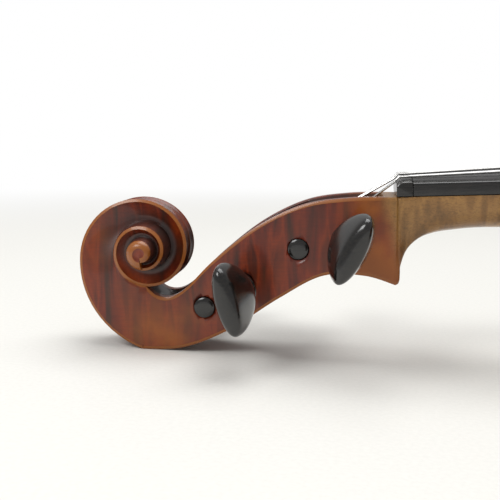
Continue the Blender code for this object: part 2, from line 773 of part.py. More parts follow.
def peg_hole(name):
    """Tapered hole through both walls, with the peg's own sides and a running clearance."""
    a, b = PEG_AXES[name]
    side = PEG_SIDE[name]
    lean = math.radians(PEG_LEAN[name]) - NECK_ANGLE
    long_way = Vector((math.sin(lean), 0.0, math.cos(lean)))
    thin_way = Vector((math.cos(lean), 0.0, -math.sin(lean)))
    start = Vector(on_neck(a, 0.0, b))
    reach = peg_wall(name) + 4.0
    sections = []
    for y in (-reach, reach):
        radius = max(peg_radius(1, y), 3.0) + PEG_CLEARANCE
        sections.append(peg_ring(start, side * y, long_way, thin_way, radius, radius))
    return loft(sections)


def winding_place(name):
    """Middle of the string's turns on its peg, just inside the wall at the peg's head."""
    a = PEG_AXES[name][0]
    wall = interpolate(-a, [0.0, 78.0], [WALL_THICKNESS, WALL_THICKNESS_AT_THROAT])
    return PEG_SIDE[name] * (wall_half_width(a) - wall - 0.4 - WINDING_WIDTH / 2)


def winding_mesh(name):
    a, b = PEG_AXES[name]
    middle = winding_place(name)
    side = PEG_SIDE[name]
    inner = peg_radius(1, side * middle + WINDING_WIDTH / 2) + PEG_CLEARANCE
    outer = inner + 2 * STRING_RADIUS[name]
    start = Vector(on_neck(a, 0.0, b))
    rings = []
    for y, radius in ((-0.5, inner), (0.5, inner), (0.5, outer), (-0.5, outer)):
        centre = start + Vector((0, middle + y * WINDING_WIDTH, 0))
        rings.append([tuple(centre + Vector((math.sin(2 * math.pi * k / PEG_SIDES) * radius, 0,
                                             math.cos(2 * math.pi * k / PEG_SIDES) * radius)))
                      for k in range(PEG_SIDES)])
    points = [p for ring in rings for p in ring]
    faces = []
    for r in range(4):
        for k in range(PEG_SIDES):
            j = (k + 1) % PEG_SIDES
            low, high = r * PEG_SIDES, ((r + 1) % 4) * PEG_SIDES
            faces.append((low + k, low + j, high + j, high + k))
    return (points, faces), tuple(start)


# ---------------------------------------------------------------- fingerboard, nut, strings
def board_half_width(a):
    share = (a - NUT_LENGTH) / FINGERBOARD_LENGTH
    return FINGERBOARD_HALF_WIDTH + (FINGERBOARD_END_HALF_WIDTH - FINGERBOARD_HALF_WIDTH) * share


def board_top(a, y):
    """Height of the playing surface above the neck plane."""
    half = board_half_width(a)
    drop = math.sqrt(FINGERBOARD_RADIUS ** 2 - half ** 2)
    return GAP + FINGERBOARD_SIDE + math.sqrt(FINGERBOARD_RADIUS ** 2 - y * y) - drop


def fingerboard_mesh():
    start, end = NUT_LENGTH + GAP, NUT_LENGTH + FINGERBOARD_LENGTH
    neck_end = from_body(0.0, neck_plane(0.0))[0]
    places = [(start, 0.0), (neck_end - 6.0, 0.0), (neck_end + 6.0, 1.0), (0.5 * (neck_end + end), 1.0),
              (end, 1.0)]
    sections = []
    for a, hollow in places:
        half = board_half_width(a)
        section = []
        for k in range(13):
            y = half * (-1 + 2 * k / 12)
            section.append(on_neck(a, y, board_top(a, y)))
        for k in range(9):
            y = half * (1 - 2 * k / 8)
            lift = FINGERBOARD_HOLLOW * hollow * (1 - (y / half) ** 2)
            section.append(on_neck(a, y, GAP + lift))
        sections.append(section)
    return loft(sections)


def nut_top(y):
    return board_top(NUT_LENGTH, y) + STRING_RISE_NUT


def nut_mesh():
    """Ebony nut, its top rounded towards the pegbox."""
    half = FINGERBOARD_HALF_WIDTH
    sections = []
    for a, share in ((0.0, 0.0), (0.0, 0.72), (0.8, 0.9), (2.0, 0.98), (NUT_LENGTH, 1.0), (NUT_LENGTH, 0.0)):
        section = []
        for k in range(13):
            y = half * (-1 + 2 * k / 12)
            section.append(on_neck(a, y, GAP + (nut_top(y) - GAP) * share))
        sections.append(section)
    points = [p for section in sections for p in section]
    count = 13
    faces = []
    for s in range(len(sections)):
        n = (s + 1) % len(sections)
        for k in range(count - 1):
            faces.append((s * count + k, s * count + k + 1, n * count + k + 1, n * count + k))
    faces.append(tuple(s * count for s in range(len(sections))))
    faces.append(tuple(s * count + count - 1 for s in reversed(range(len(sections)))))
    return points, faces


def string_share(name):
    return -0.5 + STRING_ORDER.index(name) / (len(STRING_ORDER) - 1)


def bridge_top_z():
    return RIB_HEIGHT + BELLY_ARCH + BRIDGE_HEIGHT


def bridge_curve(y):
    return bridge_top_z() - BRIDGE_CURVE_RADIUS + math.sqrt(BRIDGE_CURVE_RADIUS ** 2 - y * y)


def tail_point(along, y, up=0.0):
    """A point of the tailpiece's middle surface, measured from its foot towards the bridge."""
    foot_x = BODY_LENGTH - TAILPIECE_TAIL_GAP
    slope = math.atan2(TAILPIECE_HEAD_Z - TAILPIECE_TAIL_Z, TAILPIECE_LENGTH)
    x = foot_x - along * math.cos(slope) + up * math.sin(slope)
    z = TAILPIECE_TAIL_Z + along * math.sin(slope) + up * math.cos(slope)
    return (x, y, z)


def tail_crown(y):
    """Arched top of the tailpiece above its middle surface."""
    return TAILPIECE_THICKNESS * 0.5 + 2.2 * (1 - (y / TAILPIECE_HEAD_HALF_WIDTH) ** 2)


def tangent_point(centre, radius, target):
    """Where a line from the target touches the upper side of a circle, in the centre plane."""
    da, db = target[0] - centre[0], target[1] - centre[1]
    angle = math.atan2(db, da) + math.acos(radius / math.hypot(da, db))
    return (centre[0] + radius * math.cos(angle), centre[1] + radius * math.sin(angle))


def string_knots(name):
    """A string's route, from where it leaves its turns on the peg to the tailpiece."""
    radius = STRING_RADIUS[name]
    middle = winding_place(name)
    turn = peg_radius(1, abs(middle)) + PEG_CLEARANCE + 3 * radius + GAP
    landing = middle - PEG_SIDE[name] * (WINDING_WIDTH / 2 - radius)
    y_nut = string_share(name) * STRING_SPREAD_NUT
    y_bridge = string_share(name) * STRING_SPREAD_BRIDGE
    rest = nut_top(y_nut) + radius + GAP
    route = [(-0.6, rest - 1.6), (1.0, rest + 0.05), (NUT_LENGTH, rest)]
    if name in ("d", "a"):
        cross_a, cross_b = PEG_AXES["e"]
        route.insert(0, (cross_a, cross_b + PEG_RADIUS + radius + 3 * GAP))
    route.insert(0, tangent_point(PEG_AXES[name], turn, route[0]))
    knots = []
    for a, b in route:
        share = min(max(a / route[0][0], 0.0), 1.0)
        knots.append(on_neck(a, y_nut + (landing - y_nut) * share, b))
    over = bridge_curve(y_bridge) + radius + GAP + 0.1
    knots += [(BRIDGE_X - 1.2, y_bridge, over), (BRIDGE_X + 1.2, y_bridge, over - 0.1)]
    slot_y = string_share(name) * STRING_SPREAD_TAIL
    if name == "e":
        hook = tuner_hook()
        knots.append((hook[0] - 1.4, hook[1], hook[2]))
    else:
        rise = tail_crown(slot_y) + radius + 0.5
        knots += [tail_point(TAILPIECE_LENGTH + 1.5, slot_y, rise),
                  tail_point(TAILPIECE_LENGTH - 5.0, slot_y, rise)]
    return knots


def string_mesh(name):
    return tube(string_knots(name), STRING_RADIUS[name], STRING_SIDES)


# ---------------------------------------------------------------- bridge
def bridge_mesh():
    """Upright maple bridge: its outline, heart and kidneys stay square to the belly."""
    half_feet = BRIDGE_FOOT_SPREAD / 2
    top = [(y, bridge_curve(y)) for y in (17.5, 14.0, 9.5, 5.0, 0.0)]
    waist_z = RIB_HEIGHT + BELLY_ARCH
    side = [(19.6, bridge_curve(17.5) - 3.2), (19.2, bridge_curve(17.5) - 6.0), (14.5, waist_z + 15.5),
            (13.2, waist_z + 13.0), (13.8, waist_z + 10.6), (16.0, waist_z + 9.6), (16.2, waist_z + 8.6),
            (13.0, waist_z + 8.0), (12.5, waist_z + 6.2), (14.5, waist_z + 4.2), (half_feet, waist_z + 1.6)]
    foot = []
    for k in range(5):
        y = half_feet - BRIDGE_FOOT_LENGTH * k / 4
        foot.append((y, max(belly_top(BRIDGE_X - 2, y), belly_top(BRIDGE_X + 2, y)) + GAP))
    inner = half_feet - BRIDGE_FOOT_LENGTH
    arch = [(inner + 1.2, waist_z + 2.2), (inner - 1.0, waist_z + 5.4), (inner - 4.5, waist_z + 7.6),
            (0.0, waist_z + 8.6)]
    half = list(reversed(top)) + side + foot + arch
    outline = half + [(-y, z) for y, z in reversed(half[1:-1])]
    heart = [(0.0, waist_z + 13.0), (3.0, waist_z + 14.6), (4.6, waist_z + 17.2), (3.4, waist_z + 20.4),
             (1.4, waist_z + 19.4), (0.0, waist_z + 21.6), (-1.4, waist_z + 19.4), (-3.4, waist_z + 20.4),
             (-4.6, waist_z + 17.2), (-3.0, waist_z + 14.6)]
    kidney = [(9.4, waist_z + 11.2), (11.0, waist_z + 13.2), (12.6, waist_z + 17.4), (11.6, waist_z + 20.6),
              (9.4, waist_z + 21.2), (7.6, waist_z + 19.2), (7.2, waist_z + 15.6), (7.8, waist_z + 12.6)]
    holes = [heart, kidney, [(-y, z) for y, z in kidney]]

    def half_thickness(y, z):
        share = (z - waist_z) / BRIDGE_HEIGHT
        return 0.5 * (BRIDGE_FOOT_THICKNESS + (BRIDGE_TOP_THICKNESS - BRIDGE_FOOT_THICKNESS) * share)

    points, faces = plate_mesh(outline, holes, half_thickness, lambda y, z: -half_thickness(y, z), 8.0)
    return [(BRIDGE_X + t, y, z) for y, z, t in points], faces


# ---------------------------------------------------------------- tailpiece and its fixings
def tailpiece_half_width(along):
    share = along / TAILPIECE_LENGTH
    return interpolate(share, [0.0, 0.06, 0.3, 0.6, 0.86, 0.97, 1.0],
                       [TAILPIECE_FOOT_HALF_WIDTH - 1.5, TAILPIECE_FOOT_HALF_WIDTH,
                        TAILPIECE_FOOT_HALF_WIDTH + 1.2, TAILPIECE_FOOT_HALF_WIDTH + 3.8,
                        TAILPIECE_HEAD_HALF_WIDTH - 1.6, TAILPIECE_HEAD_HALF_WIDTH,
                        TAILPIECE_HEAD_HALF_WIDTH - 1.0])


def tailpiece_mesh():
    length = TAILPIECE_LENGTH
    side = [(length * s, tailpiece_half_width(length * s)) for s in
            (0.0, 0.06, 0.18, 0.3, 0.45, 0.6, 0.75, 0.86, 0.93, 0.97, 1.0)]
    outline = side + [(length + 0.9, 8.0), (length + 1.2, 0.0), (length + 0.9, -8.0)]
    outline += [(a, -y) for a, y in reversed(side)]
    holes = []
    for name in ("g", "d", "a"):
        y = string_share(name) * STRING_SPREAD_TAIL
        holes.append([(length - 16.5, y - 1.9), (length - 13.5, y - 1.9), (length - 12.5, y - 0.8),
                      (length - 6.5, y - 0.8), (length - 6.5, y + 0.8), (length - 12.5, y + 0.8),
                      (length - 13.5, y + 1.9), (length - 16.5, y + 1.9)])
    bore = TUNER_SCREW_RADIUS + TUNER_CLEARANCE + 0.4
    holes.append([(TUNER_SCREW_ALONG + bore * math.cos(math.pi * k / 8),
                   tuner_y() + bore * math.sin(math.pi * k / 8)) for k in range(16)])

    def under(a, y):
        return -TAILPIECE_THICKNESS * 0.5

    points, faces = plate_mesh(outline, holes, lambda a, y: tail_crown(y), under, 11.0)
    return [tail_point(a, y, up) for a, y, up in points], faces


def tuner_y():
    return string_share("e") * STRING_SPREAD_TAIL


def tuner_hook():
    return tail_point(TAILPIECE_LENGTH + 1.0, tuner_y(), TUNER_PIVOT_UP + 3.6)


def tail_prism(profile, width, centre_y):
    """A bar of constant width whose (along, up) outline lies in the tailpiece's own plane."""
    low = [tail_point(a, centre_y - width / 2, up) for a, up in profile]
    high = [tail_point(a, centre_y + width / 2, up) for a, up in profile]
    return prism(low, high)


def tuner_frame_mesh():
    """Nickel channel on the tailpiece whose two cheeks carry the lever's pin."""
    y = tuner_y()
    wide, inner = 3.3, 2.3
    base = tail_crown(y - wide) + GAP
    top = TUNER_PIVOT_UP + 2.0
    floor = base + 0.8
    section = [(-wide, base), (wide, base), (wide, top), (inner, top), (inner, floor),
               (-inner, floor), (-inner, top), (-wide, top)]
    return loft([[tail_point(TUNER_PIVOT_ALONG + along, y + side, up) for side, up in section]
                 for along in (-5.0, 3.0)])


def tuner_bore(radius, centre_along, length):
    """A round cutter across the tuner, along the lever's pin."""
    centre = tail_point(centre_along, tuner_y() - length / 2, TUNER_PIVOT_UP)
    return turned([(0.0, radius), (length, radius)], centre, (0, 1, 0), 16)


def tuner_lever_mesh():
    """Rocking lever: the string hooks on one end and the thumb screw presses on the other."""
    pin, up = TUNER_PIVOT_ALONG, TUNER_PIVOT_UP
    tail = TUNER_SCREW_ALONG - 3.6
    arm = [(pin + 1.6, up - 1.3), (pin + 6.0, up + 1.2), (pin + 6.0, up + 3.4), (pin + 4.6, up + 3.4),
           (pin + 1.4, up + 1.6), (tail, up + 1.6), (tail, up + 0.4), (pin - 3.0, up + 0.4),
           (pin - 1.6, up - 1.3)]
    return tail_prism(arm, 4.0, tuner_y())


def tuner_axis():
    spot = tail_point(TUNER_SCREW_ALONG, tuner_y(), 0.0)
    above = tail_point(TUNER_SCREW_ALONG, tuner_y(), 1.0)
    return spot, tuple(b - a for a, b in zip(spot, above))


def tuner_stem_mesh():
    """Threaded stem, from under the lever down through the tailpiece."""
    spot, axis = tuner_axis()
    top = TUNER_PIVOT_UP + 1.6 + GAP
    return turned([(top - TUNER_SCREW_LENGTH, TUNER_SCREW_RADIUS - 0.4),
                   (top - TUNER_SCREW_LENGTH + 0.5, TUNER_SCREW_RADIUS), (top, TUNER_SCREW_RADIUS)],
                  spot, axis, 16)


def tuner_knob_mesh():
    spot, axis = tuner_axis()
    low = TUNER_PIVOT_UP + 1.6 + 2 * GAP
    r, high = TUNER_KNOB_RADIUS, low + TUNER_KNOB_HEIGHT
    profile = [(low, r - 1.7), (low + 0.8, r - 1.3), (low + 1.1, r - 0.3), (low + 1.5, r),
               (high - 0.6, r), (high, r - 0.6)]
    return turned(profile, spot, axis, 20)


def tuner_stem_bore(radius):
    spot, axis = tuner_axis()
    return turned([(-12.0, radius), (20.0, radius)], spot, axis, 16)


def saddle_mesh():
    """Ebony block let into the belly's edge under the tailgut."""
    x0, x1 = BODY_LENGTH - SADDLE_LENGTH, BODY_LENGTH - 0.2
    half = SADDLE_HALF_WIDTH
    top = RIB_HEIGHT + SADDLE_HEIGHT
    base = RIB_HEIGHT + GAP
    edge = RIB_HEIGHT + PLATE_EDGE + 0.6
    sections = []
    for share, rise in ((-1.0, 0.0), (-0.75, 0.35), (-0.45, 0.9), (0.0, 1.0),
                        (0.45, 0.9), (0.75, 0.35), (1.0, 0.0)):
        crest = edge + (top - edge) * rise
        sections.append([(x0, half * share, base), (x1, half * share, base), (x1, half * share, crest - 0.6),
                         (x1 - 1.8, half * share, crest), (x0, half * share, edge + 0.3 * (crest - edge))])
    return loft(sections)


def end_button_mesh():
    """Turned button whose shank goes through the rib into the end block."""
    shank_start = -BUTTON_SHANK_LENGTH
    r = BUTTON_RADIUS
    length = BUTTON_LENGTH
    profile = [(shank_start, BUTTON_SHANK_RADIUS - 0.7), (GAP, BUTTON_SHANK_RADIUS), (GAP, r - 1.6),
               (1.4, r - 1.2), (2.2, r - 2.4), (3.4, r - 3.0), (4.6, r - 2.2), (6.0, r - 0.4), (7.4, r),
               (length - 0.6, r - 0.8), (length, r - 2.4)]
    return turned(profile, (BODY_LENGTH - EDGE_OVERHANG, 0.0, RIB_HEIGHT / 2), (1, 0, 0), 28)


def tailgut_knots():
    """Loop from the tailpiece over the saddle and round the button's neck."""
    over = RIB_HEIGHT + SADDLE_HEIGHT + TAILGUT_RADIUS + GAP
    under = -TAILPIECE_THICKNESS * 0.5 - TAILGUT_RADIUS - GAP
    spread = TAILGUT_SPREAD
    button_x = BODY_LENGTH - EDGE_OVERHANG + 3.4
    loop = BUTTON_RADIUS - 2.6 + TAILGUT_RADIUS + GAP
    middle = RIB_HEIGHT / 2
    half = [tail_point(12.0, spread, under), tail_point(4.0, spread, under),
            tail_point(1.0, spread, under + 0.2)]
    half += [(BODY_LENGTH - 4.0, spread, over), (BODY_LENGTH + 0.2, spread + 0.1, over - 0.2),
             (BODY_LENGTH + 1.6, spread + 0.3, over - 1.8), (BODY_LENGTH + 1.7, spread + 0.5, over - 4.0),
             (BODY_LENGTH + 1.5, loop + 0.2, middle + 8.0)]
    round_turn = []
    for k in range(9):
        angle = math.radians(20 - 220 * k / 8) if k < 8 else math.radians(-200)
        round_turn.append((button_x, loop * math.cos(angle), middle + loop * math.sin(angle)))
    other = [(x, -y, z) for x, y, z in reversed(half)]
    return half + round_turn + other


def tailgut_mesh():
    return tube(tailgut_knots(), TAILGUT_RADIUS, 8)


# ---------------------------------------------------------------- ribs, blocks and linings
def closed(loop, z):
    return [(p[0], p[1], z) for p in loop]


def side_prism(loop, low_z, high_z, side):
    points = [(x, y * side) for x, y in loop]
    return prism(closed(points, low_z), closed(points, high_z))


def strip_loop(line, thickness):
    return list(line) + list(reversed(offset_curve(line, -thickness)))


def trimmed(line, is_clear):
    """The longest clear run of a line, cut back to where it becomes clear."""
    dense = []
    for p, q in zip(line, line[1:]):
        for k in range(12):
            share = k / 12
            dense.append((p[0] + (q[0] - p[0]) * share, p[1] + (q[1] - p[1]) * share))
    dense.append(line[-1])
    runs = []
    for k, point in enumerate(dense):
        if not is_clear(point):
            continue
        if runs and runs[-1][1] == k - 1:
            runs[-1][1] = k
        else:
            runs.append([k, k])
    first, last = max(runs, key=lambda run: run[1] - run[0])
    inner = [line[k] for k in range(len(line)) if first < 12 * k < last]
    return [dense[first]] + inner + [dense[last]]


def cut_at_y(line, y):
    """The part of a line above y, starting exactly there."""
    for k in range(len(line) - 1):
        p, q = line[k], line[k + 1]
        if p[1] <= y < q[1]:
            share = (y - p[1]) / (q[1] - p[1])
            return [(p[0] + (q[0] - p[0]) * share, y)] + line[k + 1:]
    return line


def x_where(line, y):
    """Where a line that runs towards the middle crosses the height y."""
    return interpolate(y, [p[1] for p in reversed(line)], [p[0] for p in reversed(line)])


def root_half_width(z):
    """Half width of the neck's root at a height, for the mortise round it."""
    top = from_body(0.0, neck_plane(0.0))
    share = z / neck_plane(0.0)
    return HEEL_HALF_WIDTH + (neck_width(top[0]) + 0.2 - HEEL_HALF_WIDTH) * share


RIB_EDGES = [offset_curve(edge, -EDGE_OVERHANG) for edge in (UPPER_EDGE, WAIST_EDGE, LOWER_EDGE)]
TAIL_X = BODY_LENGTH - EDGE_OVERHANG


def upper_rib_line(z):
    return cut_at_y(RIB_EDGES[0], root_half_width(z) + 1.5 * GAP)


def lower_rib_line():
    line = [p for p in RIB_EDGES[2] if p[1] > 4.0]
    return line + [(TAIL_X, GAP / 2)]


def waist_rib_line():
    """The waist rib ends against the inner faces of its two neighbours."""
    upper = strip_loop(upper_rib_line(RIB_HEIGHT), RIB_THICKNESS)
    lower = strip_loop(lower_rib_line(), RIB_THICKNESS)
    reach = RIB_THICKNESS + 2 * GAP

    def is_clear(point):
        outside = not (inside(point, upper) or inside(point, lower))
        return outside and min(distance_to_loop(point, upper), distance_to_loop(point, lower)) > reach
    return trimmed(RIB_EDGES[1], is_clear)


def corner_loop(first, second, corner):
    """Outline of the block between the inner faces of two ribs near a corner."""
    depth = RIB_THICKNESS + GAP
    lines = []
    for line, other in ((first, second), (second, first)):
        other_rib = strip_loop(other, RIB_THICKNESS)

        def near(point):
            clear = distance_to_loop(point, other_rib) > 2 * GAP and not inside(point, other_rib)
            return clear and CORNER_BLOCK_TIP < math.dist(point, corner) < CORNER_BLOCK_REACH
        lines.append(trimmed(offset_curve(line, -depth), near))
    return lines[0] + lines[1]


def top_block_loops():
    loops = []
    for z in (0.0, RIB_HEIGHT):
        notch = root_half_width(z) + GAP
        line = cut_at_y(offset_curve(RIB_EDGES[0], -RIB_THICKNESS - GAP), notch)
        side = [(MORTISE_DEPTH + GAP, notch), line[0]]
        side += [p for p in line[1:] if p[1] < TOP_BLOCK_HALF_WIDTH - 1.0 and p[1] > 17.0]
        side += [(cut_at_y(line, TOP_BLOCK_HALF_WIDTH)[0])]
        side += [(TOP_BLOCK_LENGTH, TOP_BLOCK_HALF_WIDTH)]
        loops.append(side + [(x, -y) for x, y in reversed(side)])
    return loops


def end_block_loop():
    line = offset_curve(RIB_EDGES[2], -RIB_THICKNESS - GAP)
    near = [p for p in line if 4.0 < p[1] < END_BLOCK_HALF_WIDTH]
    start_x = BODY_LENGTH - EDGE_OVERHANG - RIB_THICKNESS - GAP
    side = [(start_x - END_BLOCK_LENGTH, END_BLOCK_HALF_WIDTH)]
    corner_x = x_where(line, END_BLOCK_HALF_WIDTH)
    side += [(corner_x, END_BLOCK_HALF_WIDTH)]
    side += near + [(start_x, 0.0)]
    return side + [(x, -y) for x, y in reversed(side[:-1])]


def lining_line(rib_line, obstacles):
    line = offset_curve(rib_line, -RIB_THICKNESS - GAP)

    def is_clear(point):
        reach = LINING_WIDTH + GAP
        return all(distance_to_loop(point, o) > reach and not inside(point, o) for o in obstacles)
    return trimmed(line, is_clear)


# ---------------------------------------------------------------- plates and what is inside
def sound_hole_loops():
    """Stem and two eyes of the treble sound hole; they overlap and are cut as one."""
    knots = [(159, 25.5), (153.5, 28.5), (153.5, 34), (161, 38), (176, 40.8), (195, 43.2), (214, 46.2),
             (228, 50.5), (237.3, 55.5), (236.8, 61), (232, 62)]
    scale = BODY_LENGTH / 355.0
    inset = WAIST_HALF_WIDTH - 55.0
    route = smooth_route([(x * scale, y + inset) for x, y in knots], 2)
    left, right = [], []
    count = len(route) - 1
    for k, point in enumerate(route):
        before, after = route[max(k - 1, 0)], route[min(k + 1, count)]
        dx, dy = after[0] - before[0], after[1] - before[1]
        size = math.hypot(dx, dy)
        swell = math.sin(math.pi * k / count) ** 2
        half = SOUND_HOLE_TIP + (SOUND_HOLE_STEM - SOUND_HOLE_TIP) * swell
        left.append((point[0] - dy / size * half, point[1] + dx / size * half))
        right.append((point[0] + dy / size * half, point[1] - dx / size * half))
    loops = [left + list(reversed(right))]
    for centre, radius in ((route[0], UPPER_EYE_RADIUS), (route[-1], LOWER_EYE_RADIUS)):
        angles = [math.pi * k / 7 for k in range(14)]
        loops.append([(centre[0] + radius * math.cos(a), centre[1] + radius * math.sin(a)) for a in angles])
    return loops


def belly_outline():
    notch = root_half_width(RIB_HEIGHT + PLATE_EDGE + 2.0) + GAP
    edge = cut_at_y(UPPER_EDGE, notch) + WAIST_EDGE
    tail = [p for p in LOWER_EDGE if p[1] > SADDLE_HALF_WIDTH + GAP + 3.0]
    saddle_x = BODY_LENGTH - SADDLE_LENGTH - GAP
    saddle_y = SADDLE_HALF_WIDTH + GAP
    tail_edge_x = x_where(LOWER_EDGE, saddle_y)
    return ([(MORTISE_DEPTH + GAP, GAP / 2), (MORTISE_DEPTH + GAP, notch)] + edge + tail
            + [(tail_edge_x, saddle_y), (saddle_x, saddle_y), (saddle_x, GAP / 2)])


def back_outline():
    radius = BACK_BUTTON_HALF_WIDTH
    middle = radius - BACK_BUTTON_LENGTH
    arc = [(middle - radius * math.cos(math.radians(a)), max(radius * math.sin(math.radians(a)), GAP / 2))
           for a in range(0, 91, 15)]
    edge = [p for p in UPPER_EDGE if p[1] > radius + 3.0]
    tail = [p for p in LOWER_EDGE if p[1] > GAP]
    return arc + [(-0.4, radius + 0.8)] + edge + WAIST_EDGE + tail + [(BODY_LENGTH, GAP / 2)]


def mirrored_loops(loops, side):
    return [[(x, y * side) for x, y in loop] for loop in loops]


def bass_bar_mesh():
    start = 0.5 * (BODY_LENGTH - BASS_BAR_LENGTH)
    sections = []
    for k in range(13):
        share = k / 12
        x = start + BASS_BAR_LENGTH * share
        y = BASS_BAR_Y - 2.0 * (share - 0.5)
        depth = 2.5 + (BASS_BAR_HEIGHT - 2.5) * math.sin(math.pi * share) ** 0.8
        low_side, high_side = y - BASS_BAR_WIDTH / 2, y + BASS_BAR_WIDTH / 2
        tops = [belly_under(x, side) - 2 * GAP for side in (low_side, high_side)]
        foot = min(tops) - depth
        sections.append([(x, low_side, foot), (x, high_side, foot),
                         (x, high_side, tops[1]), (x, low_side, tops[0])])
    return loft(sections)


def sound_post_mesh():
    x0 = BRIDGE_X + SOUND_POST_BEHIND_BRIDGE
    rings = []
    for height, sign in ((back_inside, 1.0), (belly_under, -1.0)):
        ring = []
        for k in range(20):
            angle = 2 * math.pi * k / 20
            x = x0 + SOUND_POST_RADIUS * math.cos(angle)
            y = SOUND_POST_OFFSET_Y + SOUND_POST_RADIUS * math.sin(angle)
            ring.append((x, y, height(x, y) + sign * (GAP + 0.1)))
        rings.append(ring)
    return loft(rings)


# ---------------------------------------------------------------- assembly
SIDES = (("bass", -1.0), ("treble", 1.0))


def build_neck(holder):
    neck = make_node("neck_and_scroll", head_mesh(), "varnished maple", holder)
    cut(neck, make_cutter("pegbox_hollow_cutter", pegbox_hollow(), holder))
    for name in PEG_AXES:
        cut(neck, make_cutter("peg_hole_cutter_" + name, peg_hole(name), holder))
    make_node("fingerboard", fingerboard_mesh(), "ebony", holder)
    make_node("nut", nut_mesh(), "ebony", holder)


def build_pegs_and_strings(holder):
    for name in STRING_ORDER:
        shape, centre = peg_mesh(name)
        make_node("peg_" + name, shape, "ebony", holder, centre)
        shape, centre = winding_mesh(name)
        make_node("string_turns_" + name, shape, "wound string", holder, centre)
        make_node("string_" + name, string_mesh(name), "wound string", holder)


def build_fittings(holder):
    make_node("bridge", bridge_mesh(), "bare maple", holder)
    make_node("tailpiece", tailpiece_mesh(), "ebony", holder)
    make_node("tailgut", tailgut_mesh(), "tailgut", holder)
    make_node("saddle", saddle_mesh(), "ebony", holder)
    make_node("end_button", end_button_mesh(), "ebony", holder)
    pin = tail_point(TUNER_PIVOT_ALONG, tuner_y(), TUNER_PIVOT_UP)
    spot, _ = tuner_axis()
    frame = make_node("tuner_frame", tuner_frame_mesh(), "nickel", holder)
    lever = make_node("tuner_lever", tuner_lever_mesh(), "nickel", holder, pin)
    pin_hole = TUNER_PIN_RADIUS + TUNER_CLEARANCE
    pin_bore = make_cutter("tuner_pin_cutter", tuner_bore(pin_hole, TUNER_PIVOT_ALONG, 12.0), holder)
    cut(frame, pin_bore)
    cut(lever, pin_bore)
    stem_hole = TUNER_SCREW_RADIUS + TUNER_CLEARANCE + 0.25
    stem_bore = make_cutter("tuner_stem_cutter", tuner_stem_bore(stem_hole), holder)
    cut(lever, stem_bore)
    make_node("tuner_pin", tuner_bore(TUNER_PIN_RADIUS, TUNER_PIVOT_ALONG, 7.2), "nickel", holder)
    make_node("tuner_stem", tuner_stem_mesh(), "nickel", holder, spot)
    make_node("tuner_knob", tuner_knob_mesh(), "nickel", holder, spot)


def build_ribs(holder):
    upper, waist, lower = upper_rib_line(RIB_HEIGHT), waist_rib_line(), lower_rib_line()
    upper_foot = upper_rib_line(0.0)
    upper_foot = [upper_foot[0]] + upper[1:]
    corners = {"upper": corner_loop(upper, waist, UPPER_EDGE[-1]),
               "lower": corner_loop(waist, lower, LOWER_EDGE[0])}
    top_block = top_block_loops()
    end_block = end_block_loop()
    obstacles = list(corners.values()) + [top_block[1], end_block]
    lines = {"upper": lining_line(upper, obstacles), "waist": lining_line(waist, obstacles),
             "lower": lining_line(lower, obstacles)}
    for side_name, side in SIDES:
        foot = [(x, y * side) for x, y in strip_loop(upper_foot, RIB_THICKNESS)]
        head = [(x, y * side) for x, y in strip_loop(upper, RIB_THICKNESS)]
        make_node("rib_upper_" + side_name, prism(closed(foot, 0.0), closed(head, RIB_HEIGHT)),
                  "varnished maple", holder)
        for bout, line in (("waist", waist), ("lower", lower)):
            make_node("rib_" + bout + "_" + side_name,
                      side_prism(strip_loop(line, RIB_THICKNESS), 0.0, RIB_HEIGHT, side),
                      "varnished maple", holder)
        for corner, loop in corners.items():
            make_node("corner_block_" + corner + "_" + side_name, side_prism(loop, 0.0, RIB_HEIGHT, side),
                      "bare spruce", holder)
        for bout, line in lines.items():
            loop = strip_loop(line, LINING_WIDTH)
            make_node("lining_" + bout + "_back_" + side_name, side_prism(loop, 0.0, LINING_HEIGHT, side),
                      "bare spruce", holder)
            make_node("lining_" + bout + "_belly_" + side_name,
                      side_prism(loop, RIB_HEIGHT - LINING_HEIGHT, RIB_HEIGHT, side), "bare spruce", holder)
    make_node("top_block", prism(closed(top_block[0], 0.0), closed(top_block[1], RIB_HEIGHT)),
              "bare spruce", holder)
    block = make_node("end_block", prism(closed(end_block, 0.0), closed(end_block, RIB_HEIGHT)),
                      "bare spruce", holder)
    bore = turned([(-END_BLOCK_LENGTH - 8.0, BUTTON_SHANK_RADIUS + GAP), (4.0, BUTTON_SHANK_RADIUS + GAP)],
                  (TAIL_X, 0.0, RIB_HEIGHT / 2), (1, 0, 0), 28)
    cutter = make_cutter("end_button_cutter", bore, holder)
    cut(block, cutter)
    for side_name, _ in SIDES:
        cut(bpy.data.objects["rib_lower_" + side_name], cutter)


def build_plates(holder):
    for side_name, side in SIDES:
        outline = mirrored_loops([belly_outline()], side)[0]
        holes = mirrored_loops(sound_hole_loops(), side)
        belly = plate_mesh(outline, holes, belly_top, belly_under, PLATE_GRID)
        make_node("belly_" + side_name, belly, "varnished spruce", holder)
        outline = mirrored_loops([back_outline()], side)[0]
        back = plate_mesh(outline, [], back_inside, back_outside, PLATE_GRID)
        make_node("back_" + side_name, back, "varnished maple", holder)
    make_node("bass_bar", bass_bar_mesh(), "bare spruce", holder)
    make_node("sound_post", sound_post_mesh(), "bare spruce", holder)


def lowest(points, tilt):
    return min(-x * math.sin(tilt) + z * math.cos(tilt) for x, _, z in points)


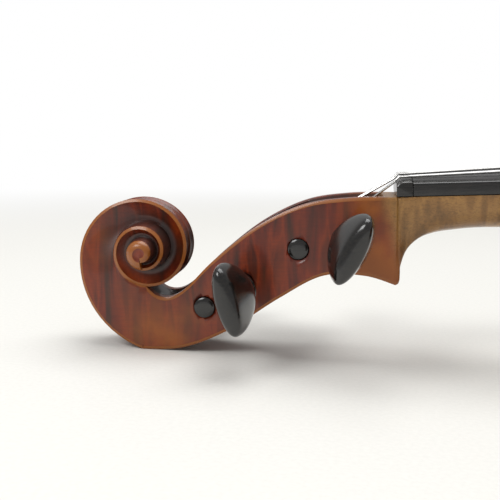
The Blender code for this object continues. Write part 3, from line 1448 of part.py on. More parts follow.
def lying_tilt():
    """The tilt at which the scroll's rim and the back touch one level plane."""
    rim = [on_neck(p[0], 0.0, p[1]) for p in (spiral_point(-1.0 + k / 20) for k in range(21))]
    rim += [on_neck(p[0], 0.0, p[1]) for p in pegbox_back()]
    back = [(x, 0.0, back_outside(x, 0.0)) for x in range(40, int(BODY_LENGTH) - 40, 5)]
    low, high = 0.0, math.radians(8)
    for _ in range(40):
        tilt = 0.5 * (low + high)
        if lowest(rim, tilt) < lowest(back, tilt):
            low = tilt
        else:
            high = tilt
    return tilt


def lay_down(holder):
    holder.rotation_euler[1] = lying_tilt()
    bpy.context.view_layer.update()
    corners = [piece.matrix_world @ vertex.co for piece in bpy.data.objects
               if piece.type == "MESH" and not piece.hide_render for vertex in piece.data.vertices]
    centre_x = 0.5 * (min(c.x for c in corners) + max(c.x for c in corners))
    holder.location = (-centre_x, 0.0, -min(c.z for c in corners))


def build():
    clear_scene()
    holder = bpy.data.objects.new("violin", None)
    bpy.context.collection.objects.link(holder)
    build_neck(holder)
    build_pegs_and_strings(holder)
    build_fittings(holder)
    build_ribs(holder)
    build_plates(holder)
    lay_down(holder)
    bpy.context.view_layer.update()


build()
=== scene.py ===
import json
import math

import bmesh
import bpy
from mathutils import Matrix, Vector

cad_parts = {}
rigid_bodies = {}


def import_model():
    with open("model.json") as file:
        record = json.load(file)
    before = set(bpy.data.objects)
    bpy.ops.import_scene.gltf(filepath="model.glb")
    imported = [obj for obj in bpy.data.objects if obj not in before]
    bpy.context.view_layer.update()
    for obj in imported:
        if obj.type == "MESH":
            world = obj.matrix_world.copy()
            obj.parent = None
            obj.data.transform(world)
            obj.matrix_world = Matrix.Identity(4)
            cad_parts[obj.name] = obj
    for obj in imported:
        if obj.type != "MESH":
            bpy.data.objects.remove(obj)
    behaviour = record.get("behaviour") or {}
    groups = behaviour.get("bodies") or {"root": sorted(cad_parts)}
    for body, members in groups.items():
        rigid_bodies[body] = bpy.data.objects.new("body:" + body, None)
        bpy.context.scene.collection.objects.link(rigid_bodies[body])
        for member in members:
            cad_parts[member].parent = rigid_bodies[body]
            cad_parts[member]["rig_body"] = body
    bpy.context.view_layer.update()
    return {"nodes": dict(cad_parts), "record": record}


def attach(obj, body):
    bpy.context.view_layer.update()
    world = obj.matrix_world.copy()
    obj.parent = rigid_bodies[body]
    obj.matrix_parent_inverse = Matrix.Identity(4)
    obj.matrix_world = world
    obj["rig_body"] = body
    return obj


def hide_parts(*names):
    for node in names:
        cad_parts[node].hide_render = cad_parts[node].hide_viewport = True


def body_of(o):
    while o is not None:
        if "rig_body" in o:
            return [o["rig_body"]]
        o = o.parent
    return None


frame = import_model()

MM = 0.001

# Neck and pegbox, in millimetres: a runs from the nut's head end towards the body, b up
NUT_LENGTH = 5.0
NECK_LENGTH = 130.0
NECK_ANGLE = math.radians(5.6)
NECK_PLANE_HEIGHT = 41.0
NECK_DEPTH = 11.3
NECK_DEPTH_AT_HEEL = 13.5
MORTISE_DEPTH = 5.5
HEEL_HALF_WIDTH = 10.5
BOARD_LENGTH = 270.0
BOARD_HALF_WIDTH = 12.0
BOARD_END_HALF_WIDTH = 21.0
BOARD_SIDE = 3.95
BOARD_RADIUS = 42.0
BOARD_HOLLOW = 4.0
WALL_AT_NUT = 13.0
WALL_AT_THROAT = 9.3
WALL_THICKNESS = (5.0, 4.2)
BACK_FLARE = 1.2
PEGBOX_FLOOR = 5.5
LAND = 0.95                   # width of the worn flat along each edge of the head
LAND_DROP = 0.55
LAND_BORDER = 0.3

# Scroll: t counts quarter turns inwards from the scroll's farthest point
EYE = (-82.8, -15.5)
SPIRAL_RADIUS = 21.09
SPIRAL_SHRINK = 0.182
SPIRAL_SHIFT = (-3.45, -1.26)
SPIRAL_SHIFT_SHRINK = 0.311
SPIRAL_FLARE = 7.7
SPIRAL_END = 11.0
TURN_HALF_WIDTHS = (10.2, 7.0, 6.2, 7.5, 9.5, 12.0, 14.0, 15.6, 17.1, 18.3, 19.3, 20.1, 20.6)
FLUTE_DEPTH = 1.2
HOLLOW_DEPTH = 2.4
STEPS_PER_QUARTER = 16

# Pegs: each axis's place along and above the neck, the side of its head and the head's lean
PEG_AXES = {"g": (-15.2, -12.6), "e": (-31.9, -16.1), "d": (-50.7, -27.6), "a": (-64.0, -35.3)}
PEG_SIDE = {"g": -1.0, "e": 1.0, "d": -1.0, "a": 1.0}
PEG_LEAN = {"g": 27.5, "e": -14.0, "d": -13.0, "a": 8.0}
PEG_RADIUS = 3.65
PEG_TAPER = 1.0 / 60.0
PEG_CLEARANCE = 0.18
PEG_COLLAR_OUT = 22.5
PEG_COLLAR_WIDTH = 2.2
PEG_HEAD_HALF_LENGTH = 11.25
PEG_HEAD_REACH = 18.5
PEG_HEAD_HALF_THICKNESS = 6.2
# Thumb piece: share of its reach, then shares of its half length and half thickness
PEG_HEAD_SHAPE = ((0.0, 0.44, 0.8), (0.05, 0.56, 0.9), (0.2, 0.84, 1.0), (0.42, 0.98, 0.9), (0.62, 1.0, 0.77),
                  (0.8, 0.97, 0.64), (0.885, 0.93, 0.565), (0.93, 0.87, 0.5), (0.97, 0.76, 0.38),
                  (0.992, 0.58, 0.22), (1.0, 0.3, 0.1))
PEG_CREST_OFFSET = {"g": 1.6, "e": 0.4, "d": -1.1, "a": -0.3}
PEG_TIP_PROUD = {"g": 0.5, "e": 0.15, "d": 0.6, "a": 0.9}
WINDING_WIDTH = 3.6

# Body
BODY_LENGTH = 355.0
UPPER_HALF_WIDTH = 84.0
WAIST_HALF_WIDTH = 55.0
LOWER_HALF_WIDTH = 104.0
RIB_HEIGHT = 30.0
PLATE_EDGE = 4.0
BELLY_ARCH = 15.0
BACK_ARCH = 15.0
PLATE_EDGE_TO_SPLIT = 0.0025  # metres
ARCH_START = 0.0005           # share of the arch under which a point belongs to the flat rim
SKIN_REACH = 1.4              # how far a point of the outer skin may lie from the true arch
EDGE_ROUND = 0.00025          # metres

# Strings
STRING_RADIUS = {"g": 0.41, "d": 0.34, "a": 0.33, "e": 0.20}
STRING_ORDER = ("g", "d", "a", "e")
STRING_RISE_NUT = 0.4
GAP = 0.3


# ---------------------------------------------------------------- places and meshes
def body_frame():
    """The violin's own frame (x to the tail, z out of the belly) inside the row frame."""
    mount = [m for m in frame["record"]["mounts"] if m["name"] == "end_button_face"][0]
    tilt = math.atan2(-mount["axis"][2], mount["axis"][0])
    turn = Matrix.Rotation(tilt, 4, "Y")
    button_face = Vector((361.0 * MM, 0.0, 15.0 * MM))
    return Matrix.Translation(Vector(mount["pos_m"]) - turn @ button_face) @ turn


BODY = body_frame()
NECK = (BODY @ Matrix.Translation((0.0, 0.0, NECK_PLANE_HEIGHT * MM))
        @ Matrix.Rotation(-NECK_ANGLE, 4, "Y")
        @ Matrix.Translation((-(NUT_LENGTH + NECK_LENGTH) * MM, 0.0, 0.0)))


def from_body(x, z):
    """A point of the centre plane, from the body's frame to the neck's."""
    rise = z - NECK_PLANE_HEIGHT
    along = x * math.cos(NECK_ANGLE) + rise * math.sin(NECK_ANGLE)
    return (along + NUT_LENGTH + NECK_LENGTH, rise * math.cos(NECK_ANGLE) - x * math.sin(NECK_ANGLE))


def neck_plane(x):
    return NECK_PLANE_HEIGHT + x * math.tan(NECK_ANGLE)


def place(name, mesh_data, material, placing, body, nodes=(), sharp=32.0, marks=()):
    """One finished piece from (points, faces) in millimetres, riding on its CAD body.

    A point may carry further numbers after its three coordinates: they are stored under the
    names in marks, for the finish to read.
    """
    points, faces = mesh_data
    shell = bmesh.new()
    layers = [shell.verts.layers.float.new(mark) for mark in marks]
    corners = []
    for point in points:
        corner = shell.verts.new([value * MM for value in point[:3]])
        for layer, value in zip(layers, point[3:]):
            corner[layer] = value
        corners.append(corner)
    for face in faces:
        shell.faces.new([corners[i] for i in face])
    bmesh.ops.remove_doubles(shell, verts=shell.verts, dist=0.000008)
    bmesh.ops.recalc_face_normals(shell, faces=shell.faces)
    mesh = bpy.data.meshes.new(name)
    shell.to_mesh(mesh)
    shell.free()
    mesh.shade_smooth()
    mesh.set_sharp_from_angle(angle=math.radians(sharp))
    mesh.materials.append(material)
    piece = bpy.data.objects.new(name, mesh)
    bpy.context.scene.collection.objects.link(piece)
    piece.matrix_world = placing
    if body:
        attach(piece, body)
    if nodes:
        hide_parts(*nodes)
    return piece


def smooth_step(value):
    value = min(max(value, 0.0), 1.0)
    return value * value * (3.0 - 2.0 * value)


def interpolate(value, places, results):
    for k in range(len(places) - 1):
        if value <= places[k + 1] or k == len(places) - 2:
            share = min(max((value - places[k]) / (places[k + 1] - places[k]), 0.0), 1.0)
            return results[k] + (results[k + 1] - results[k]) * share
    return results[-1]


def smooth_route(knots, count):
    """A Catmull-Rom curve through the knots, with its two ends."""
    route = []
    padded = [knots[0]] + list(knots) + [knots[-1]]
    for k in range(1, len(padded) - 2):
        p0, p1, p2, p3 = (Vector(padded[k + j]) for j in (-1, 0, 1, 2))
        for i in range(count):
            t = i / count
            route.append(tuple(0.5 * (2 * p1 + (p2 - p0) * t + (2 * p0 - 5 * p1 + 4 * p2 - p3) * t * t
                                      + (3 * p1 - p0 - 3 * p2 + p3) * t ** 3)))
    route.append(tuple(knots[-1]))
    return route


def point_along(route, share):
    lengths = [0.0]
    for p, q in zip(route, route[1:]):
        lengths.append(lengths[-1] + math.dist(p, q))
    return tuple(interpolate(share * lengths[-1], lengths, [p[k] for p in route]) for k in range(2))


def height_on(route, a):
    return interpolate(-a, [-p[0] for p in route], [p[1] for p in route])


def grid_faces(rows):
    """Faces between neighbouring rows of points, as loose squares to be merged."""
    points = [point for row in rows for point in row]
    count = len(rows[0])
    faces = []
    for r in range(len(rows) - 1):
        for i in range(count - 1):
            start = r * count + i
            faces.append((start, start + 1, start + count + 1, start + count))
    return points, faces


def join_meshes(*parts):
    points, faces = [], []
    for part_points, part_faces in parts:
        start = len(points)
        points += [tuple(p) for p in part_points]
        faces += [tuple(start + i for i in face) for face in part_faces]
    return points, faces


def mirrored(mesh_data):
    points, faces = mesh_data
    return [(p[0], -p[1], *p[2:]) for p in points], [tuple(reversed(face)) for face in faces]


def loft(sections, capped=True):
    """A skin through closed sections of the same number of points."""
    count = len(sections[0])
    points = [tuple(p) for section in sections for p in section]
    faces = []
    for s in range(len(sections) - 1):
        for i in range(count):
            j = (i + 1) % count
            low, high = s * count, (s + 1) * count
            faces.append((low + i, low + j, high + j, high + i))
    if capped:
        faces.append(tuple(reversed(range(count))))
        faces.append(tuple(range((len(sections) - 1) * count, len(sections) * count)))
    return points, faces


# ---------------------------------------------------------------- scroll, pegbox and neck
def spiral_point(t, extra=0.0):
    shift = math.exp(-SPIRAL_SHIFT_SHRINK * max(t, 0.0))
    flare = SPIRAL_FLARE * t * t if t < 0 else 0.0
    radius = SPIRAL_RADIUS * math.exp(-SPIRAL_SHRINK * t) + flare + extra
    angle = math.pi * (1.0 - t / 2.0)
    return (EYE[0] + shift * SPIRAL_SHIFT[0] + radius * math.cos(angle),
            EYE[1] + shift * SPIRAL_SHIFT[1] + radius * math.sin(angle))


HALF_WIDTH_CURVE = smooth_route([(k - 1.0, width) for k, width in enumerate(TURN_HALF_WIDTHS)], 8)


def turn_half_width(t):
    return interpolate(t, [p[0] for p in HALF_WIDTH_CURVE], [p[1] for p in HALF_WIDTH_CURVE])


def pegbox_front():
    knots = [(0, 0), (-15.3, 0.2), (-30.1, -1.7), (-45.4, -8.5), (-60.3, -19.5), (-69.7, -28.4),
             (-75.5, -31.8), (-80.5, -31.4), spiral_point(3.0)]
    return smooth_route(knots, 12)


def pegbox_back():
    knots = [(-0.9, -28.2), (-10.9, -24.9), (-24.3, -24.9), (-38.6, -32.2), (-57.0, -43.6),
             (-72.7, -49.4), spiral_point(-1.0)]
    return smooth_route(knots, 12)


def wall_half_width(a):
    return interpolate(-a, [0.0, 12.0, 32.0, 60.0, 84.0],
                       [WALL_AT_NUT - 0.6, WALL_AT_NUT, WALL_AT_NUT - 0.9,
                        0.5 * (WALL_AT_NUT + WALL_AT_THROAT) - 0.6, WALL_AT_THROAT])


def neck_half_width(a):
    share = max((a - NUT_LENGTH) / BOARD_LENGTH, -0.02)
    return BOARD_HALF_WIDTH - 0.2 + (BOARD_END_HALF_WIDTH - BOARD_HALF_WIDTH) * share


FACE_ROWS = 9


def rim_section(t):
    """Half of the scroll's rim at t, from its edge over the flute to the middle ridge.

    Each point is (a, y, b, wear, shade), the last being painted shade that darkens the flute."""
    width = turn_half_width(t) - LAND_DROP
    rows = [(*spiral_point(t), width, 1.0, 0.0)]
    for share in (0.04, 0.16, 0.34, 0.5, 0.66, 0.82, 0.94, 1.0):
        sink = FLUTE_DEPTH * math.sin(math.pi * share) ** 0.8 if share < 1.0 else 0.0
        wear = 0.7 if share == 1.0 else 0.0
        # The flute is darkened in step with its depth: painted shade.
        rows.append((*spiral_point(t, -sink), width * (1.0 - share), wear, 0.35 * min(sink, 1.0)))
    return [(a, y, b, wear, patina) for a, b, y, wear, patina in rows]


def face_section(t):
    """The scroll's hollowed face at t, from its edge to the top of the next turn's wall."""
    width, next_width = turn_half_width(t), turn_half_width(t + 4.0)
    edge, next_edge = Vector(spiral_point(t)), Vector(spiral_point(t + 4.0))
    inward = (next_edge - edge).normalized()
    land = min(LAND, 0.26 * (next_edge - edge).length)
    rise = smooth_step((t + 1.0) / 1.5)
    low = width - HOLLOW_DEPTH * smooth_step((t + 0.8) / 2.0)
    foot = next_edge - inward * (min(0.8, land) * rise + LAND * (1.0 - rise))
    foot_y = next_width * (1.0 - rise) + low * rise
    wall = max(next_width - LAND_DROP - foot_y, 0.0)
    start = edge + inward * land
    span = (foot - start).length
    fillet = min(1.8, 0.3 * wall, 0.4 * span)
    # How dark the hollowed face is painted, standing in for the shade that falls in it: painted shade.
    depth = 0.25 + 0.75 * smooth_step((t + 0.6) / 2.0)
    rows = [(edge, width - LAND_DROP, 1.0, 0.0), (start, width, 1.0, 0.0)]
    start_share = min(LAND_BORDER / span, 0.2)
    end_share = 1.0 - fillet / span
    for k in range(FACE_ROWS):
        share = start_share + (end_share - start_share) * k / (FACE_ROWS - 1)
        sink = 0.13 * span * math.sin(math.pi * share ** 0.8) * smooth_step((t + 0.6) / 1.8)
        y = width + (foot_y - width) * share - sink * 0.55
        rows.append((start + (foot - start) * share, y, 0.0, depth * smooth_step(share * 1.25 - 0.2)))
    last_y = rows[-1][1]
    for out, up in ((0.35, 0.12), (0.0, 0.6)):
        y = last_y + (foot_y + fillet - last_y) * up
        rows.append((foot - inward * fillet * out, y, 0.0, depth))
    top = next_edge - inward * (LAND * (1.0 - rise))
    for share in (0.45, 0.85):
        y = foot_y + fillet + (next_width - LAND_DROP - LAND_BORDER - foot_y - fillet) * share
        y = max(y, foot_y) if rise > 0.02 else next_width
        rows.append((foot + (top - foot) * share, y, 0.0, depth * (1.1 - share * 0.5)))
    rows.append((next_edge, next_width - LAND_DROP, 1.0, 0.0))
    return [(p[0], y, p[1], wear, patina) for p, y, wear, patina in rows]


def box_section(top, bottom, top_width, bottom_width, roundness, flute, depth, wall):
    """Half a section of the pegbox or neck, from the middle of its top round to its back.

    roundness runs from 0 for the square pegbox to 1 for the neck, and depth is the hollow's."""
    top, bottom = Vector(top), Vector(bottom)
    down = (bottom - top).normalized()
    height = (bottom - top).length
    square = 1.0 - roundness
    land, drop = LAND * square, LAND_DROP * square
    inner = top_width - wall
    rows = []
    # The hollow's floor and inner walls are fully darkened: painted shade inside the pegbox.
    floor = [(0.0, 1.0), (0.55, 1.0), (0.86, 0.99)]
    for share, sink in floor:
        rows.append((top + down * depth * sink, inner * share, 0.0, 1.0))
    for out, up in ((0.25, 0.7), (0.0, 2.2)):
        rows.append((top + down * max(depth - up, 0.0), inner - out, 0.0, 1.0))
    rows.append((top + down * depth * 0.45, inner + 0.01, 0.0, 0.95))
    rows.append((top + down * min(depth, 0.5), inner + 0.02, 0.0, 0.8))
    rows.append((top, inner + 0.4, 0.45, 0.0))
    rows.append((top, top_width - drop - LAND_BORDER, 0.25, 0.0))
    rows.append((top, top_width - drop, 1.0 * square, 0.0))

    def side(share, angle_share):
        angle = math.radians(62.0 * angle_share)
        round_down = math.sin(angle) ** 0.85
        round_width = top_width * math.cos(angle) ** 0.8
        flat_width = top_width + (bottom_width - top_width) * share
        reach = share + (round_down - share) * roundness
        return top + (bottom - top) * reach, flat_width + (round_width - flat_width) * roundness

    marks = [(land, 1.0), (land + LAND_BORDER, 0.0)]
    shares = [(offset / height, wear) for offset, wear in marks]
    steps = FACE_ROWS
    first, last = shares[1][0], 1.0 - shares[1][0]
    shares += [(first + (last - first) * k / steps, 0.0) for k in range(1, steps)]
    shares += [(1.0 - share, wear) for share, wear in reversed(shares[:2])]
    for k, (share, wear) in enumerate(shares):
        position, width = side(share, share)
        rows.append((position, width, wear * square, 0.0))
    for share in (0.0, 0.04, 0.16, 0.34, 0.5, 0.66, 0.82, 0.94, 1.0):
        angle = math.radians(62.0 + 28.0 * share)
        round_down = math.sin(angle) ** 0.85
        round_width = top_width * max(math.cos(angle), 0.0) ** 0.8
        flat_width = (bottom_width - drop) * (1.0 - share)
        reach = 1.0 + (round_down - 1.0) * roundness
        sink = flute * math.sin(math.pi * share) ** 0.8 if 0.0 < share < 1.0 else 0.0
        width = (flat_width + (round_width - flat_width) * roundness) if share < 1.0 else 0.0
        wear = {0.0: 1.0, 1.0: 0.7}.get(share, 0.0) * square
        # The flute along the back is darkened with its depth: painted shade.
        rows.append((top + (bottom - top) * reach - down * sink, width, wear, 0.35 * min(sink, 1.0)))
    return [(p[0], y, p[1], wear, patina) for p, y, wear, patina in rows]


def throat_section():
    """The last pegbox section, which the scroll's rim and face grow from."""
    top = list(reversed(rim_section(3.0)))
    face = list(reversed(face_section(-1.0)))
    return top, face, rim_section(-1.0)


def heel_sections():
    neck_end = from_body(MORTISE_DEPTH, neck_plane(MORTISE_DEPTH))[0]
    knots = [(0.0, 0.0, -0.9, -28.2, wall_half_width(0.0), wall_half_width(0.0) + BACK_FLARE, 0.0)]
    for top_a, low_a, low_b, low_width, roundness in (
            (0.5, 0.0, -27.9, 13.3, 0.03), (0.8, 0.5, -26.9, 13.0, 0.06), (1.1, 0.65, -25.0, 12.9, 0.12),
            (1.6, 0.9, -22.6, 12.8, 0.2), (3.6, 3.0, -18.0, 12.4, 0.45), (7.4, 7.0, -14.6, 12.1, 0.7),
            (12.0, 11.8, -12.8, 12.0, 0.88), (18.0, 18.0, -11.9, 11.9, 0.98)):
        knots.append((top_a, 0.0, low_a, low_b, neck_half_width(top_a), low_width, roundness))
    straight_end = neck_end - 42.0
    for k in range(5):
        a = 28.0 + (straight_end - 28.0) * k / 4
        depth = NECK_DEPTH + (NECK_DEPTH_AT_HEEL - NECK_DEPTH) * k / 4
        knots.append((a, 0.0, a, -depth, neck_half_width(a), BOARD_HALF_WIDTH - 0.2, 1.0))
    under_start = neck_plane(-29.0) - NECK_DEPTH_AT_HEEL
    for top_x, low_share, low_x, roundness in ((-29.0, 0.55, -24.0, 0.95), (-22.0, 0.35, -20.0, 0.85),
                                               (-17.0, 0.17, -15.5, 0.72), (-13.5, 0.05, -13.2, 0.6),
                                               (-9.0, 0.0, -12.4, 0.5)):
        low = from_body(low_x, under_start * low_share * 1.4)
        top = from_body(top_x, neck_plane(top_x))
        knots.append((*top, *low, neck_half_width(top[0]), HEEL_HALF_WIDTH, roundness))
    route = smooth_route(knots, 6)
    for x in (-2.0, MORTISE_DEPTH):
        top = from_body(x, neck_plane(x))
        route.append((*top, *from_body(x, 0.0), neck_half_width(top[0]), HEEL_HALF_WIDTH, 0.0))
    sections = []
    for k, (top_a, top_b, low_a, low_b, top_width, low_width, roundness) in enumerate(route):
        flute = 0.0
        roundness = min(max(roundness, 0.0), 1.0)
        sections.append(box_section((top_a, top_b), (low_a, low_b), top_width, low_width, roundness, flute,
                                    0.0, 4.0))
    return sections


def hollow_depth(front, back, a):
    """Depth of the pegbox's hollow under its front edge."""
    top = height_on(front, a)
    full = top - height_on(back, a) - PEGBOX_FLOOR
    near_nut = smooth_step((-a - 4.2) / 1.0) * (0.76 + 0.24 * smooth_step((-a - 5.2) / 7.0))
    return full * near_nut * (1.0 - smooth_step((-a - 69.0) / 11.0))


def head_mesh():
    front, back = pegbox_front(), pegbox_back()
    sections = list(reversed(heel_sections()))[:-1]
    steps = 96
    shares = sorted(set([k / steps for k in range(steps)] + [0.0375, 0.0425, 0.045, 0.0475]))
    for share in shares:
        top, low = point_along(front, share), point_along(back, share)
        blend = smooth_step((share - 0.86) / 0.14)
        width = wall_half_width(top[0]) * (1 - blend) + turn_half_width(3.0) * blend
        low_width = (wall_half_width(top[0]) + BACK_FLARE * (1 - share)) * (1 - blend)
        low_width += turn_half_width(-1.0) * blend
        wall = interpolate(share, [0.0, 1.0], WALL_THICKNESS)
        sections.append(box_section(top, low, width, low_width, 0.0, FLUTE_DEPTH * smooth_step(share * 4.0),
                                    hollow_depth(front, back, top[0]), wall))
    top_rows = 10
    throat_top, throat_face, throat_rim = throat_section()
    face_count = len(sections[-1]) - top_rows - len(throat_rim)
    top_places = [throat_top[min(k, len(throat_top) - 1)] for k in range(top_rows)]
    face_rows = [throat_face[0]] + throat_face[1:]
    sections.append(top_places + resampled(face_rows, face_count) + throat_rim)
    patches = [grid_faces(sections)]
    count = int((SPIRAL_END + 1) * STEPS_PER_QUARTER)
    ticks = [-1.0 + k / STEPS_PER_QUARTER for k in range(count + 1)]
    patches.append(grid_faces([rim_section(t) for t in ticks if t <= 3.001]))
    patches.append(grid_faces([face_section(t) for t in ticks if t <= SPIRAL_END - 3.999]))
    patches.append(eye_mesh(ticks))
    half = join_meshes(*patches)
    root = sections[0] + [(p[0], -p[1], *p[2:]) for p in reversed(sections[0][1:-1])]
    return join_meshes(half, mirrored(half), (root, [tuple(range(len(root)))]))


def resampled(rows, count):
    """The same half section with another number of points."""
    lengths = [0.0]
    for p, q in zip(rows, rows[1:]):
        lengths.append(lengths[-1] + math.dist(p[:3], q[:3]) + 1e-6)
    picked = []
    for k in range(count):
        place_along = lengths[-1] * k / (count - 1)
        picked.append(tuple(interpolate(place_along, lengths, [p[n] for p in rows])
                            for n in range(len(rows[0]))))
    return picked


def eye_mesh(ticks):
    """The button at the spiral's end: a worn bevel round a small flat disc."""
    last_turn = []
    for t in ticks:
        if t > SPIRAL_END - 3.999:
            a, b = spiral_point(t)
            last_turn.append((a, turn_half_width(t) - LAND_DROP, b, 1.0, 0.0))
    first = face_section(SPIRAL_END - 4.0)
    ring = first + list(reversed(last_turn))
    peak = turn_half_width(SPIRAL_END)
    rows = [ring]
    # The step down to the flat disc is darkened a little: painted shade.
    for share, rise, wear, patina in ((0.12, 0.5, 1.0, 0.0), (0.3, 0.8, 1.0, 0.0),
                                      (0.52, 1.0, 1.0, 0.0), (0.57, 0.98, 0.3, 0.2),
                                      (0.63, 0.9, 0.12, 0.12), (0.8, 0.88, 0.15, 0.0)):
        rows.append([(p[0] + (EYE[0] - p[0]) * share, p[1] + (peak - p[1]) * max(rise, share),
                      p[2] + (EYE[1] - p[2]) * share, wear, patina) for p in ring])
    points, faces = grid_faces([row + row[:1] for row in rows])
    start = len(points)
    points = points + [(EYE[0], peak - 0.1, EYE[1], 0.15, 0.0)]
    count = len(ring) + 1
    low = (len(rows) - 1) * count
    faces += [(low + i, low + i + 1, start) for i in range(count - 1)]
    return points, faces


# ---------------------------------------------------------------- finishes
RELIEF_DEPTH = 0.0001         # metres that the grain stands up, before its strength


def tone(text):
    """Linear red, green, blue and alpha of an sRGB hex value."""
    values = [int(text[k:k + 2], 16) / 255 for k in (1, 3, 5)]
    return (*[v / 12.92 if v <= 0.04045 else ((v + 0.055) / 1.055) ** 2.4 for v in values], 1.0)


def start_finish(name, values):
    """A new material, with constants set on its surface shader."""
    material = bpy.data.materials.new(name)
    material.use_nodes = True
    shader = material.node_tree.nodes["Principled BSDF"]
    for key, value in values.items():
        shader.inputs[key].default_value = value
    return material, shader


def add(material, kind, values=None, links=None, stops=None, **settings):
    """Add a node: its own settings, constants on its inputs, sources for them and a ramp's stops."""
    step = material.node_tree.nodes.new("ShaderNode" + kind)
    for key, value in settings.items():
        setattr(step, key, value)
    for key, value in (values or {}).items():
        step.inputs[key].default_value = value
    for key, source in (links or {}).items():
        material.node_tree.links.new(source, step.inputs[key])
    for k, (position, value) in enumerate(stops or []):
        elements = step.color_ramp.elements
        element = elements[k] if k < 2 else elements.new(position)
        element.position = position
        element.color = value
    return step


def dress(material, shader, colour, relief=None, strength=0.0):
    """Give a surface its colour and, where it has one, the shallow relief of its grain."""
    links = material.node_tree.links
    links.new(colour, shader.inputs["Base Color"])
    if relief:
        bump = add(material, "Bump", {"Strength": strength, "Distance": RELIEF_DEPTH}, {"Height": relief})
        links.new(bump.outputs["Normal"], shader.inputs["Normal"])
    return material


def grey(value):
    return (value, value, value, 1.0)


def scaled(material, coordinates, x_mm, y_mm, z_mm):
    """Object coordinates stretched so that one unit is the given number of millimetres each way."""
    scale = (1000.0 / x_mm, 1000.0 / y_mm, 1000.0 / z_mm)
    return add(material, "Mapping", {"Scale": scale}, {"Vector": coordinates}).outputs["Vector"]


def varnished_maple(name, marked):
    """Flamed sycamore maple under a clear orange-brown oil varnish, rubbed back at the edges.

    The flames run across the grain as soft bands 5 to 8 mm apart. The varnish is thin and golden
    where it has been handled. On the head, the hollows are painted nearly black: painted shade."""
    material, shader = start_finish(name, {"Roughness": 0.42, "IOR": 1.45, "Coat Weight": 0.35,
                                           "Coat Roughness": 0.12, "Coat IOR": 1.5})
    place_in = add(material, "TexCoord").outputs["Object"]
    flame = add(material, "TexNoise", {"Scale": 1.0, "Detail": 3.0, "Roughness": 0.45, "Distortion": 0.5},
                {"Vector": scaled(material, place_in, 5.0, 60.0, 34.0)})
    fibre = add(material, "TexNoise", {"Scale": 1.0, "Detail": 2.0},
                {"Vector": scaled(material, place_in, 9.0, 0.5, 0.5)})
    cloud = add(material, "TexNoise", {"Scale": 1.0, "Detail": 4.0, "Roughness": 0.6},
                {"Vector": scaled(material, place_in, 16.0, 16.0, 16.0)})
    flames = add(material, "ValToRGB", links={"Fac": flame.outputs["Fac"]},
                 stops=[(0.34, tone("#340d00")), (0.47, tone("#611800")), (0.56, tone("#7a2700")),
                        (0.7, tone("#471000"))])
    streaks = add(material, "ValToRGB", links={"Fac": fibre.outputs["Fac"]},
                  stops=[(0.3, grey(0.72)), (0.62, grey(1.0))])
    wood = add(material, "MixRGB", {"Fac": 0.7}, {"Color1": flames.outputs["Color"],
                                                  "Color2": streaks.outputs["Color"]}, blend_type="MULTIPLY")
    patches = add(material, "MapRange", {"From Min": 0.38, "From Max": 0.66}, {"Value": cloud.outputs["Fac"]})
    if marked:
        golden = add(material, "Attribute", attribute_name="golden").outputs["Fac"]
        thin = add(material, "Math", {1: 0.65}, {0: golden, 2: patches.outputs["Result"]},
                   operation="MULTIPLY_ADD")
        share = add(material, "Math", {1: 0.62}, {0: thin.outputs["Value"]}, operation="MULTIPLY",
                    use_clamp=True)
        worn_through = add(material, "Math", {}, {0: share.outputs["Value"], 1: golden},
                           operation="MULTIPLY", use_clamp=True)
    else:
        worn_through = add(material, "Math", {1: 0.35}, {0: patches.outputs["Result"]}, operation="MULTIPLY")
    surface = add(material, "MixRGB", {"Color2": tone("#8f4a00")},
                  {"Fac": worn_through.outputs["Value"], "Color1": wood.outputs["Color"]}).outputs["Color"]
    if marked:
        surface = handled(material, place_in, surface)
    return dress(material, shader, surface, fibre.outputs["Fac"], 0.12)


def handled(material, place_in, surface):
    """Painted shade darkening the head's hollows and the inside of the pegbox, rubbed edges with a ragged
    border, and bare wood on the neck.
    """
    shade_mark = add(material, "Attribute", attribute_name="patina")
    depth = add(material, "Math", {1: 0.9}, {0: shade_mark.outputs["Fac"]}, operation="MULTIPLY", use_clamp=True)
    # Painted shade: the marked hollows are mixed towards a near-black brown.
    shaded_surface = add(material, "MixRGB", {"Color2": tone("#1d0e09")},
                {"Fac": depth.outputs["Value"], "Color1": surface})
    rub = add(material, "Attribute", attribute_name="wear")
    speckle = add(material, "TexNoise", {"Scale": 1.0, "Detail": 4.0},
                  {"Vector": scaled(material, place_in, 2.2, 1.1, 1.1)})
    chance = add(material, "Math", {1: 0.75}, {0: speckle.outputs["Fac"]}, operation="MULTIPLY")
    ragged = add(material, "Math", {}, {0: rub.outputs["Fac"], 1: chance.outputs["Value"]},
                 operation="SUBTRACT")
    rubbed = add(material, "MapRange", {"From Min": 0.12, "From Max": 0.6},
                 {"Value": ragged.outputs["Value"]})
    edge = add(material, "MixRGB", {"Color2": tone("#8f5014")},
               {"Fac": rubbed.outputs["Result"], "Color1": shaded_surface.outputs["Color"]})
    bare = add(material, "Attribute", attribute_name="bare")
    return add(material, "MixRGB", {}, {"Fac": bare.outputs["Fac"], "Color1": edge.outputs["Color"],
                                        "Color2": bare_maple_colour(material, place_in)}).outputs["Color"]


